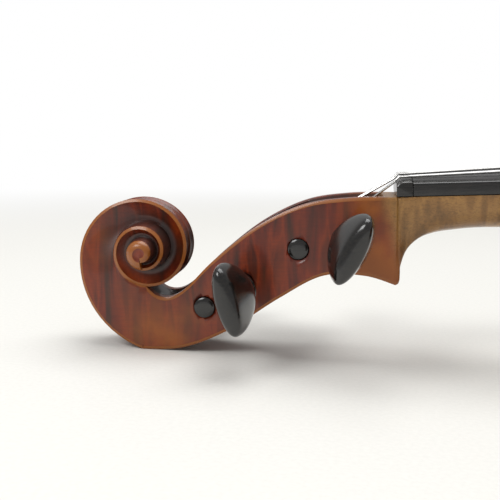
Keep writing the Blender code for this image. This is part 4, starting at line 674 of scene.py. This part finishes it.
def bare_maple_colour(material, place_in):
    """Colour of maple that has only been oiled: mottled silk with short ray flecks 1 mm long."""
    silk = add(material, "TexNoise", {"Scale": 1.0, "Detail": 3.0, "Distortion": 0.8},
               {"Vector": scaled(material, place_in, 6.0, 30.0, 16.0)})
    fleck = add(material, "TexNoise", {"Scale": 1.0, "Detail": 3.0, "Distortion": 1.2},
                {"Vector": scaled(material, place_in, 1.1, 0.45, 0.5)})
    base = add(material, "ValToRGB", links={"Fac": silk.outputs["Fac"]},
               stops=[(0.32, tone("#6a4a22")), (0.5, tone("#8a6230")), (0.62, tone("#9b713a")),
                      (0.75, tone("#745126"))])
    dots = add(material, "ValToRGB", links={"Fac": fleck.outputs["Fac"]},
               stops=[(0.36, grey(0.62)), (0.52, grey(1.0))])
    return add(material, "MixRGB", {"Fac": 0.75}, {"Color1": base.outputs["Color"],
                                                             "Color2": dots.outputs["Color"]},
               blend_type="MULTIPLY").outputs["Color"]


def bare_maple():
    """Unvarnished maple of the bridge, planed and lightly oiled, so nearly matt."""
    material, shader = start_finish("oiled bridge maple", {"Roughness": 0.5, "IOR": 1.5})
    place_in = add(material, "TexCoord").outputs["Object"]
    return dress(material, shader, bare_maple_colour(material, place_in))


def varnished_spruce():
    """Quarter-sawn spruce under the same varnish: straight dark winter lines about 1 mm apart."""
    material, shader = start_finish("varnished spruce", {"Roughness": 0.34, "IOR": 1.5, "Coat Weight": 0.5,
                                                         "Coat Roughness": 0.14})
    place_in = add(material, "TexCoord").outputs["Object"]
    lines = add(material, "TexWave", {"Scale": 0.314, "Distortion": 0.9, "Detail": 2.0,
                                                "Detail Scale": 0.12},
                {"Vector": scaled(material, place_in, 60.0, 1.15, 60.0)}, bands_direction="Y",
                wave_profile="SAW")
    cloud = add(material, "TexNoise", {"Scale": 1.0, "Detail": 4.0},
                {"Vector": scaled(material, place_in, 70.0, 30.0, 30.0)})
    base = add(material, "ValToRGB", links={"Fac": cloud.outputs["Fac"]},
               stops=[(0.35, tone("#8a3d0c")), (0.55, tone("#a65514")), (0.7, tone("#bb6f22"))])
    grain = add(material, "ValToRGB", links={"Fac": lines.outputs["Fac"]},
                stops=[(0.0, grey(1.0)), (0.7, grey(0.86)), (0.95, grey(0.5))])
    wood = add(material, "MixRGB", {"Fac": 0.8}, {"Color1": base.outputs["Color"],
                                                            "Color2": grain.outputs["Color"]},
               blend_type="MULTIPLY")
    return dress(material, shader, wood.outputs["Color"], lines.outputs["Fac"], 0.1)


def bare_spruce():
    """Planed spruce of the blocks, bar and post, never varnished: pale and matt."""
    material, shader = start_finish("planed spruce", {"Roughness": 0.65, "IOR": 1.5})
    place_in = add(material, "TexCoord").outputs["Object"]
    grain = add(material, "TexNoise", {"Scale": 1.0, "Detail": 2.0},
                {"Vector": scaled(material, place_in, 40.0, 1.2, 1.2)})
    base = add(material, "ValToRGB", links={"Fac": grain.outputs["Fac"]},
               stops=[(0.35, tone("#a5804c")), (0.6, tone("#cfae78"))])
    return dress(material, shader, base.outputs["Color"])


def ebony(name, roughness):
    """Ebony, scraped and rubbed with oil: black with faint brown pores along the grain."""
    material, shader = start_finish(name, {"Roughness": roughness, "IOR": 1.55, "Coat Weight": 0.2,
                                           "Coat Roughness": 0.1})
    place_in = add(material, "TexCoord").outputs["Object"]
    pores = add(material, "TexNoise", {"Scale": 1.0, "Detail": 3.0},
                {"Vector": scaled(material, place_in, 6.0, 0.4, 0.4)})
    base = add(material, "ValToRGB", links={"Fac": pores.outputs["Fac"]},
               stops=[(0.4, tone("#0b0a09")), (0.68, tone("#1f1c19"))])
    return dress(material, shader, base.outputs["Color"], pores.outputs["Fac"], 0.08)


def metal(name, colour, roughness):
    """Drawn or plated metal, bright with a soft sheen."""
    material, shader = start_finish(name, {"Roughness": roughness, "Metallic": 1.0})
    place_in = add(material, "TexCoord").outputs["Object"]
    tarnish = add(material, "TexNoise", {"Scale": 1.0, "Detail": 3.0},
                  {"Vector": scaled(material, place_in, 5.0, 5.0, 5.0)})
    base = add(material, "MixRGB", {"Color1": tone(colour), "Color2": grey(0.3)},
               {"Fac": add(material, "MapRange", {"From Min": 0.45, "From Max": 0.9, "To Max": 0.5},
                           {"Value": tarnish.outputs["Fac"]}).outputs["Result"]})
    return dress(material, shader, base.outputs["Color"])


def black_nylon():
    """Moulded black nylon of the tailgut, smooth and slightly shiny."""
    return start_finish("black nylon", {"Roughness": 0.35, "IOR": 1.53, "Base Color": tone("#131313")})[0]


FINISHES = {"varnished_maple": varnished_maple("varnished flamed maple", False),
            "varnished_spruce": varnished_spruce(), "bare_maple": bare_maple(), "bare_spruce": bare_spruce(),
            "ebony": ebony("oiled ebony", 0.3),
            "wound_string": metal("silver string winding", "#c9c8c6", 0.24),
            "nickel": metal("nickel plate", "#c4c1b8", 0.16), "tailgut": black_nylon()}
SLOT_OF_NODE = {"bridge": "bare_maple", "bass_bar": "bare_spruce", "sound_post": "bare_spruce",
                "tailgut": "tailgut"}
SLOT_OF_PREFIX = {"rib_": "varnished_maple", "back_": "varnished_maple", "neck_": "varnished_maple",
                  "belly_": "varnished_spruce", "string_": "wound_string", "tuner_": "nickel",
                  "corner_block": "bare_spruce", "lining_": "bare_spruce", "top_block": "bare_spruce",
                  "end_block": "bare_spruce"}


def slot_of(name):
    for prefix, slot in SLOT_OF_PREFIX.items():
        if name.startswith(prefix):
            return slot
    return SLOT_OF_NODE.get(name, "ebony")


for name, node in frame["nodes"].items():
    node.data.materials.clear()
    node.data.materials.append(FINISHES[slot_of(name)])


# ---------------------------------------------------------------- head, pegs and strings
def hill(a, b, centre_a, centre_b, reach):
    return math.exp(-((a - centre_a) ** 2 + (b - centre_b) ** 2) / reach ** 2)


def with_handling(mesh_data):
    """Add how golden and how bare each point of the head is, from its place."""
    points, faces = mesh_data
    marked = []
    for a, y, b, wear, patina in points:
        golden = 0.9 * hill(a, b, -78.0, -46.0, 15.0) + 0.5 * hill(a, b, -102.0, -14.0, 9.0)
        golden += 0.9 * hill(a, b, -9.0, -3.0, 7.0) + 1.3 * hill(a, b, -5.0, -22.0, 11.0) + 0.15
        bare = smooth_step((a + 8.0 + 0.25 * b) / 7.0)
        marked.append((a, y, b, wear * (1.0 - bare), patina, min(golden, 1.3), bare))
    return marked, faces


def peg_ring(centre, y, lean, long_radius, thin_radius, shift, count=48):
    long_way = Vector((math.sin(lean), 0.0, math.cos(lean)))
    thin_way = Vector((math.cos(lean), 0.0, -math.sin(lean)))
    ring = []
    for k in range(count):
        angle = 2 * math.pi * (k + 0.5) / count
        out = long_way * math.cos(angle) * long_radius + thin_way * (math.sin(angle) * thin_radius + shift)
        ring.append(tuple(centre + Vector((0, y, 0)) + out))
    return ring


def peg_radius(y):
    """The shaft grows towards its head: y is measured towards the head."""
    return PEG_RADIUS + PEG_TAPER * y


def peg_mesh(name):
    """Tapered shaft with a domed tip, turned collar and thumb piece, in the neck's frame."""
    side = PEG_SIDE[name]
    a, b = PEG_AXES[name]
    wall = wall_half_width(a) + BACK_FLARE * 0.5
    lean = math.radians(PEG_LEAN[name])
    centre = Vector((a, 0.0, b))
    tip = -(wall + PEG_TIP_PROUD[name])
    end = peg_radius(tip)
    profile = [(tip, 0.8), (tip + 0.04, 2.2), (tip + 0.2, end - 0.5), (tip + 0.5, end - 0.08),
               (tip + 0.8, end),
               (wall + 2.5, peg_radius(wall)), (wall + 5.0, 3.5)]
    collar, width = PEG_COLLAR_OUT, PEG_COLLAR_WIDTH
    profile += [(collar - 2.2, 3.3), (collar - 1.0, 3.7), (collar - 0.55, 4.9), (collar - 0.2, 5.5),
                (collar + 0.3, 5.85), (collar + 0.8, 5.9), (collar + 1.3, 5.7), (collar + width - 0.45, 5.1),
                (collar + width, 4.8)]
    sections = [peg_ring(centre, side * y, lean, radius, radius, 0.0) for y, radius in profile]
    half = PEG_HEAD_HALF_LENGTH
    for share, long_share, thick_share in smooth_route(PEG_HEAD_SHAPE, 3):
        y = collar + width + PEG_HEAD_REACH * share
        thick = PEG_HEAD_HALF_THICKNESS * thick_share
        sections.append(peg_ring(centre, side * y, lean, half * long_share, thick,
                                 PEG_CREST_OFFSET[name] * share))
    return loft(sections)


def build_head():
    wood = varnished_maple("varnished flamed maple of the head", True)
    # Of the marks, the second darkens the head's hollows and the pegbox inside: painted shade.
    head = place("neck_and_scroll_carved", with_handling(head_mesh()), wood, NECK, "instrument",
                 ["neck_and_scroll"], sharp=38.0, marks=("wear", "patina", "golden", "bare"))
    black = ebony("polished peg ebony", 0.2)
    for name, (a, b) in PEG_AXES.items():
        side = PEG_SIDE[name]
        reach = wall_half_width(a) + BACK_FLARE + 4.0
        bore = loft([peg_ring(Vector((a, 0.0, b)), side * y, 0.0, peg_radius(y) + PEG_CLEARANCE,
                              peg_radius(y) + PEG_CLEARANCE, 0.0) for y in (-reach, reach)])
        cutter = place("peg_hole_cutter_" + name, bore, wood, NECK, None)
        cutter.hide_render = True
        cutter.display_type = "WIRE"
        hole = head.modifiers.new("Peg hole " + name, "BOOLEAN")
        hole.solver = "EXACT"
        hole.object = cutter
        peg = place("peg_" + name + "_turned", peg_mesh(name), black, NECK, "peg_" + name, ["peg_" + name])


def tube(route, radius, sides=12):
    """A round bar along a route, its section carried along without twist."""
    route = [Vector(p) for p in route]
    sections = []
    side = None
    for i, point in enumerate(route):
        along = (route[min(i + 1, len(route) - 1)] - route[max(i - 1, 0)]).normalized()
        if side is None:
            side = along.orthogonal().normalized()
        side = (side - along * side.dot(along)).normalized()
        up = along.cross(side)
        angles = [2 * math.pi * k / sides for k in range(sides)]
        sections.append([tuple(point + (side * math.cos(angle) + up * math.sin(angle)) * radius)
                         for angle in angles])
    return loft(sections)


def winding_place(name):
    a = PEG_AXES[name][0]
    wall = interpolate(-a, [0.0, 78.0], WALL_THICKNESS)
    return PEG_SIDE[name] * (wall_half_width(a) - wall - 0.4 - WINDING_WIDTH / 2)


def build_strings():
    silver = FINISHES["wound_string"]
    for name in STRING_ORDER:
        a, b = PEG_AXES[name]
        radius = STRING_RADIUS[name]
        side = PEG_SIDE[name]
        middle = winding_place(name)
        pitch = 2 * radius + 0.04
        turns = int((WINDING_WIDTH - 2 * radius) / pitch)
        start = middle - side * (WINDING_WIDTH / 2 - radius)
        coil = []
        for k in range(turns * 24 + 1):
            angle = math.radians(120.0) + 2 * math.pi * k / 24
            y = start + side * pitch * k / 24
            out = peg_radius(abs(y)) + radius
            coil.append((a + math.cos(angle) * out, y, b + math.sin(angle) * out))
        turned = place("string_turns_" + name + "_wound", tube(coil, radius, 10), silver, NECK, "peg_" + name,
                       ["string_turns_" + name])


def board_half_width(a):
    return BOARD_HALF_WIDTH + (BOARD_END_HALF_WIDTH - BOARD_HALF_WIDTH) * (a - NUT_LENGTH) / BOARD_LENGTH


def board_top(a, y):
    """Height of the playing surface above the neck plane."""
    half = board_half_width(a)
    drop = math.sqrt(BOARD_RADIUS ** 2 - half ** 2)
    return GAP + BOARD_SIDE + math.sqrt(BOARD_RADIUS ** 2 - y * y) - drop


def board_section(a, rise, hollow):
    """Outline of the fingerboard at one place, its upper corners softened by a 0.7 mm round."""
    half = board_half_width(a)
    soft = 0.7
    outline = []
    for k in range(31):
        y = (half - soft) * (-1 + 2 * k / 30)
        outline.append((y, board_top(a, y) * rise))
    edge = board_top(a, half - soft) * rise
    corner = []
    for k in range(1, 7):
        angle = math.pi * k / 12
        corner.append((half - soft + soft * math.sin(angle), edge - soft * (1 - math.cos(angle))))
    below = [(half * (1 - 2 * k / 20), GAP + hollow * (1 - (1 - 2 * k / 20) ** 2)) for k in range(21)]
    ring = outline + corner + below + [(-y, b) for y, b in reversed(corner)]
    return [(a, y, b) for y, b in ring]


def build_board():
    black = ebony("fingerboard ebony", 0.24)
    start, end = NUT_LENGTH + GAP, NUT_LENGTH + BOARD_LENGTH
    neck_end = NUT_LENGTH + NECK_LENGTH
    sections = []
    for a, hollow in ((start, 0.0), (neck_end - 6.0, 0.0), (neck_end + 6.0, BOARD_HOLLOW),
                      (0.5 * (neck_end + end), BOARD_HOLLOW), (end - 0.5, BOARD_HOLLOW)):
        sections.append(board_section(a, 1.0, hollow))
    sections.append([(end, y * 0.992, GAP + 0.3 + (b - GAP - 0.3) * 0.93) if b > GAP + BOARD_HOLLOW + 0.2
                     else (end, y, b) for a, y, b in sections[-1]])
    board = place("fingerboard_shaped", loft(sections), black, NECK, "instrument", ["fingerboard"])
    half = BOARD_HALF_WIDTH
    rounds = [(0.05, 0.0), (0.0, 0.3), (0.0, 0.62), (0.25, 0.78), (0.8, 0.9), (1.7, 0.97), (3.0, 1.0),
              (NUT_LENGTH - 0.5, 1.0), (NUT_LENGTH - 0.1, 0.985), (NUT_LENGTH, 0.95), (NUT_LENGTH, 0.0)]
    points, faces = [], []
    columns = 97
    for a, share in rounds:
        for k in range(columns):
            y = half * (-1 + 2 * k / (columns - 1))
            top = board_top(NUT_LENGTH, y) + STRING_RISE_NUT
            corner = min((half - abs(y)) / 0.5, 1.0)
            top -= 0.5 * (1 - math.sqrt(1 - (1 - corner) ** 2)) if share > 0.7 else 0.0
            points.append((a, y, GAP + (top - GAP) * share))
    for r in range(len(rounds)):
        n = (r + 1) % len(rounds)
        for k in range(columns - 1):
            faces.append((r * columns + k, r * columns + k + 1, n * columns + k + 1, n * columns + k))
    faces.append(tuple(r * columns for r in range(len(rounds))))
    faces.append(tuple(r * columns + columns - 1 for r in reversed(range(len(rounds)))))
    nut = place("nut_rounded", (points, faces), black, NECK, "instrument", ["nut"])


def bezier(p0, p1, p2, p3, steps):
    points = []
    for k in range(steps):
        t = k / steps
        weights = ((1 - t) ** 3, 3 * t * (1 - t) ** 2, 3 * t * t * (1 - t), t ** 3)
        points.append(tuple(sum(w * p[i] for w, p in zip(weights, (p0, p1, p2, p3))) for i in range(2)))
    return points


def bout_curves():
    """Upper, waist and lower edge of the treble half of the plates, from the neck to the tail."""
    upper, waist, lower = UPPER_HALF_WIDTH, WAIST_HALF_WIDTH, LOWER_HALF_WIDTH
    length = BODY_LENGTH
    top = bezier((0, 0), (0, 0.5 * upper), (0.08 * length, upper), (0.186 * length, upper), 30)
    top += bezier((0.186 * length, upper), (0.2418 * length, upper), (0.275 * length, upper - 9.5),
                  (0.3 * length, upper - 11.5), 14)
    top += bezier((0.3 * length, upper - 11.5), (0.316 * length, upper - 12.6),
                  (0.333 * length, upper - 10.5), (0.341 * length, upper - 3.5), 8)
    top.append((0.341 * length, upper - 3.5))
    middle = bezier((0.358 * length, upper - 7.0), (0.369 * length, upper - 20), (0.39 * length, waist),
                    (0.437 * length, waist), 18)
    middle += bezier((0.437 * length, waist), (0.495 * length, waist), (0.552 * length, lower - 40),
                     (0.58 * length, lower - 12.5), 18) + [(0.58 * length, lower - 12.5)]
    bottom = bezier((0.6 * length, lower - 8.5), (0.611 * length, lower - 12.5), (0.628 * length, lower - 13),
                    (0.648 * length, lower - 11.2), 8)
    bottom += bezier((0.648 * length, lower - 11.2), (0.687 * length, lower - 8), (0.732 * length, lower),
                     (0.8 * length, lower), 12)
    bottom += bezier((0.8 * length, lower), (0.9 * length, lower), (length, 0.6 * lower), (length, 0), 30)
    return top, middle, bottom + [(length, 0)]


def distance_to_loop(point, loop):
    nearest = 1e9
    px, py = point
    for (ax, ay), (bx, by) in zip(loop, loop[1:] + loop[:1]):
        dx, dy = bx - ax, by - ay
        size = dx * dx + dy * dy
        t = min(max(((px - ax) * dx + (py - ay) * dy) / size, 0.0), 1.0) if size else 0.0
        nearest = min(nearest, (px - ax - t * dx) ** 2 + (py - ay - t * dy) ** 2)
    return math.sqrt(nearest)


def arch_share(x, y, loop):
    """How far the arch has risen at a point of the plate, from 0 at the edge to 1."""
    reach = interpolate(x / BODY_LENGTH, [0.0, 0.19, 0.34, 0.44, 0.56, 0.8, 1.0],
                        [55.0, 72.0, 58.0, 52.0, 60.0, 88.0, 60.0])
    return smooth_step((distance_to_loop((x, y), loop) - 3.0) / reach)


def build_plates():
    """Finely arched skins of the four plate halves, their plan taken from the CAD plates."""
    top, middle, bottom = bout_curves()
    half = top + middle + bottom
    whole = half + [(x, -y) for x, y in reversed(half[1:-1])]
    to_body = BODY.inverted()
    for kind, arch, finish in (("belly", BELLY_ARCH, "varnished_spruce"),
                               ("back", BACK_ARCH, "varnished_maple")):
        for hand in ("bass", "treble"):
            node = kind + "_" + hand
            source = frame["nodes"][node]
            shell = bmesh.new()
            shell.from_mesh(source.data)
            shell.transform(to_body)
            bmesh.ops.remove_doubles(shell, verts=shell.verts, dist=0.00001)
            long_edges = [e for e in shell.edges if e.calc_length() > PLATE_EDGE_TO_SPLIT]
            bmesh.ops.subdivide_edges(shell, edges=long_edges, cuts=2, use_grid_fill=True)
            base = RIB_HEIGHT + PLATE_EDGE if kind == "belly" else -PLATE_EDGE
            for vertex in shell.verts:
                x, y, z = [value / MM for value in vertex.co]
                share = arch_share(x, y, whole)
                rise = (arch - PLATE_EDGE) * share
                outer = base + rise if kind == "belly" else base - rise
                if share > ARCH_START and abs(z - outer) < SKIN_REACH:
                    vertex.co.z = outer * MM
            mesh = bpy.data.meshes.new(node + "_arched")
            shell.transform(BODY)
            shell.to_mesh(mesh)
            shell.free()
            finish_piece(mesh, node, source, FINISHES[finish], 30.0)


def finish_piece(mesh, node, source, material, sharp):
    mesh.shade_smooth()
    mesh.set_sharp_from_angle(angle=math.radians(sharp))
    mesh.materials.clear()
    mesh.materials.append(material)
    piece = bpy.data.objects.new(mesh.name, mesh)
    bpy.context.scene.collection.objects.link(piece)
    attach(piece, body_of(source)[0])
    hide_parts(node)
    return piece


def soften_the_rest():
    """Every other part keeps its CAD shape, with worn 0.25 mm rounds on its sharp edges, the strings apart.
    """
    done = {"neck_and_scroll", "fingerboard", "nut", "belly_bass", "belly_treble", "back_bass", "back_treble"}
    for node, source in frame["nodes"].items():
        if node in done or node.startswith(("peg_", "string_turns_")):
            continue
        shell = bmesh.new()
        shell.from_mesh(source.data)
        bmesh.ops.remove_doubles(shell, verts=shell.verts, dist=0.00001)
        bmesh.ops.dissolve_limit(shell, angle_limit=math.radians(0.5), verts=shell.verts, edges=shell.edges)
        mesh = bpy.data.meshes.new(node + "_finished")
        shell.to_mesh(mesh)
        shell.free()
        piece = finish_piece(mesh, node, source, FINISHES[slot_of(node)], 34.0)
        if not node.startswith("string_"):
            rounds = piece.modifiers.new("Edge rounds", "BEVEL")
            rounds.limit_method = "ANGLE"
            rounds.angle_limit = math.radians(40.0)
            rounds.width = EDGE_ROUND
            rounds.segments = 2
            rounds.use_clamp_overlap = True


# ---------------------------------------------------------------- studio
FADE_START = 0.42             # metres from the violin's middle
FADE_END = 0.85


def table_paint():
    """Pale matt tabletop that fades into the white studio behind it."""
    material, shader = start_finish("pale table", {"Roughness": 0.55, "IOR": 1.45})
    place_in = add(material, "TexCoord").outputs["Object"]
    grain = add(material, "TexNoise", {"Scale": 1.0, "Detail": 5.0},
                {"Vector": scaled(material, place_in, 1.4, 1.4, 1.4)})
    base = add(material, "ValToRGB", links={"Fac": grain.outputs["Fac"]},
               stops=[(0.3, tone("#dfded9")), (0.7, tone("#e4e3de"))])
    material.node_tree.links.new(base.outputs["Color"], shader.inputs["Base Color"])
    far = add(material, "VectorMath", links={0: place_in}, operation="LENGTH")
    fade = add(material, "MapRange", {"From Min": FADE_START, "From Max": FADE_END},
               {"Value": far.outputs["Value"]},
               interpolation_type="SMOOTHSTEP")
    glow = add(material, "Emission", {"Color": grey(1.0), "Strength": 1.0})
    mixed = add(material, "MixShader", {}, {0: fade.outputs["Result"], 1: shader.outputs["BSDF"],
                                                      2: glow.outputs["Emission"]})
    output = material.node_tree.nodes["Material Output"]
    material.node_tree.links.new(mixed.outputs["Shader"], output.inputs["Surface"])
    return material


def studio():
    floor_mesh = bpy.data.meshes.new("table_top")
    size = 3.0
    floor_mesh.from_pydata([(-size, -size, 0), (size, -size, 0), (size, size, 0), (-size, size, 0)], [],
                           [(0, 1, 2, 3)])
    floor = bpy.data.objects.new("table_top", floor_mesh)
    bpy.context.scene.collection.objects.link(floor)
    floor_mesh.materials.append(table_paint())
    world = bpy.data.worlds.new("studio")
    bpy.context.scene.world = world
    world.use_nodes = True
    background = world.node_tree.nodes["Background"]
    background.inputs["Color"].default_value = grey(1.0)
    seen = world.node_tree.nodes.new("ShaderNodeLightPath").outputs["Is Camera Ray"]
    strength = world.node_tree.nodes.new("ShaderNodeMapRange")
    strength.inputs["To Min"].default_value = 0.42
    strength.inputs["To Max"].default_value = 1.0
    world.node_tree.links.new(seen, strength.inputs["Value"])
    world.node_tree.links.new(strength.outputs["Result"], background.inputs["Strength"])
    for name, place_at, aim, wide, tall, power in (
            ("window", (-0.75, -0.55, 0.75), (-0.2, 0.0, 0.04), 0.5, 0.4, 5.0),
            ("ceiling", (-0.1, 0.25, 1.1), (-0.2, 0.0, 0.0), 1.0, 1.0, 11.0)):
        lamp = bpy.data.lights.new(name, "AREA")
        lamp.shape = "RECTANGLE"
        lamp.size, lamp.size_y = wide, tall
        lamp.energy = power
        light = bpy.data.objects.new(name, lamp)
        light.location = place_at
        light.rotation_euler = (Vector(aim) - Vector(place_at)).to_track_quat("-Z", "Y").to_euler()
        bpy.context.scene.collection.objects.link(light)
    bpy.context.scene.view_settings.view_transform = "Standard"


VIEW_DISTANCE = 290.0         # from the camera to the middle of its picture, in millimetres
VIEW_YAW = math.radians(7.0)
VIEW_RISE = math.radians(8.2)
VIEW_ROLL = math.radians(5.6 - 2.08)


def camera():
    data = bpy.data.cameras.new("camera")
    data.lens = 60.92
    data.sensor_width = 36.0
    data.clip_start = 0.01
    eye = bpy.data.objects.new("camera", data)
    bpy.context.scene.collection.objects.link(eye)
    look = Vector((-math.sin(VIEW_YAW) * math.cos(VIEW_RISE), math.cos(VIEW_YAW) * math.cos(VIEW_RISE),
                   -math.sin(VIEW_RISE)))
    right = look.cross(Vector((0, 0, 1))).normalized()
    up = right.cross(look)
    basis = Matrix((right, up, -look)).transposed().to_4x4()
    tilt = math.atan2(-BODY[2][0], BODY[0][0])
    roll = Matrix.Rotation(-(VIEW_ROLL - tilt), 4, "Y")
    target = NECK @ Vector((-49.3 * MM, 0.0, -17.7 * MM))
    basis = roll @ basis
    look = roll @ look
    eye.matrix_world = Matrix.Translation(target - look * VIEW_DISTANCE * MM) @ basis
    bpy.context.scene.camera = eye


build_head()
build_strings()
build_board()
build_plates()
soften_the_rest()

studio()
camera()
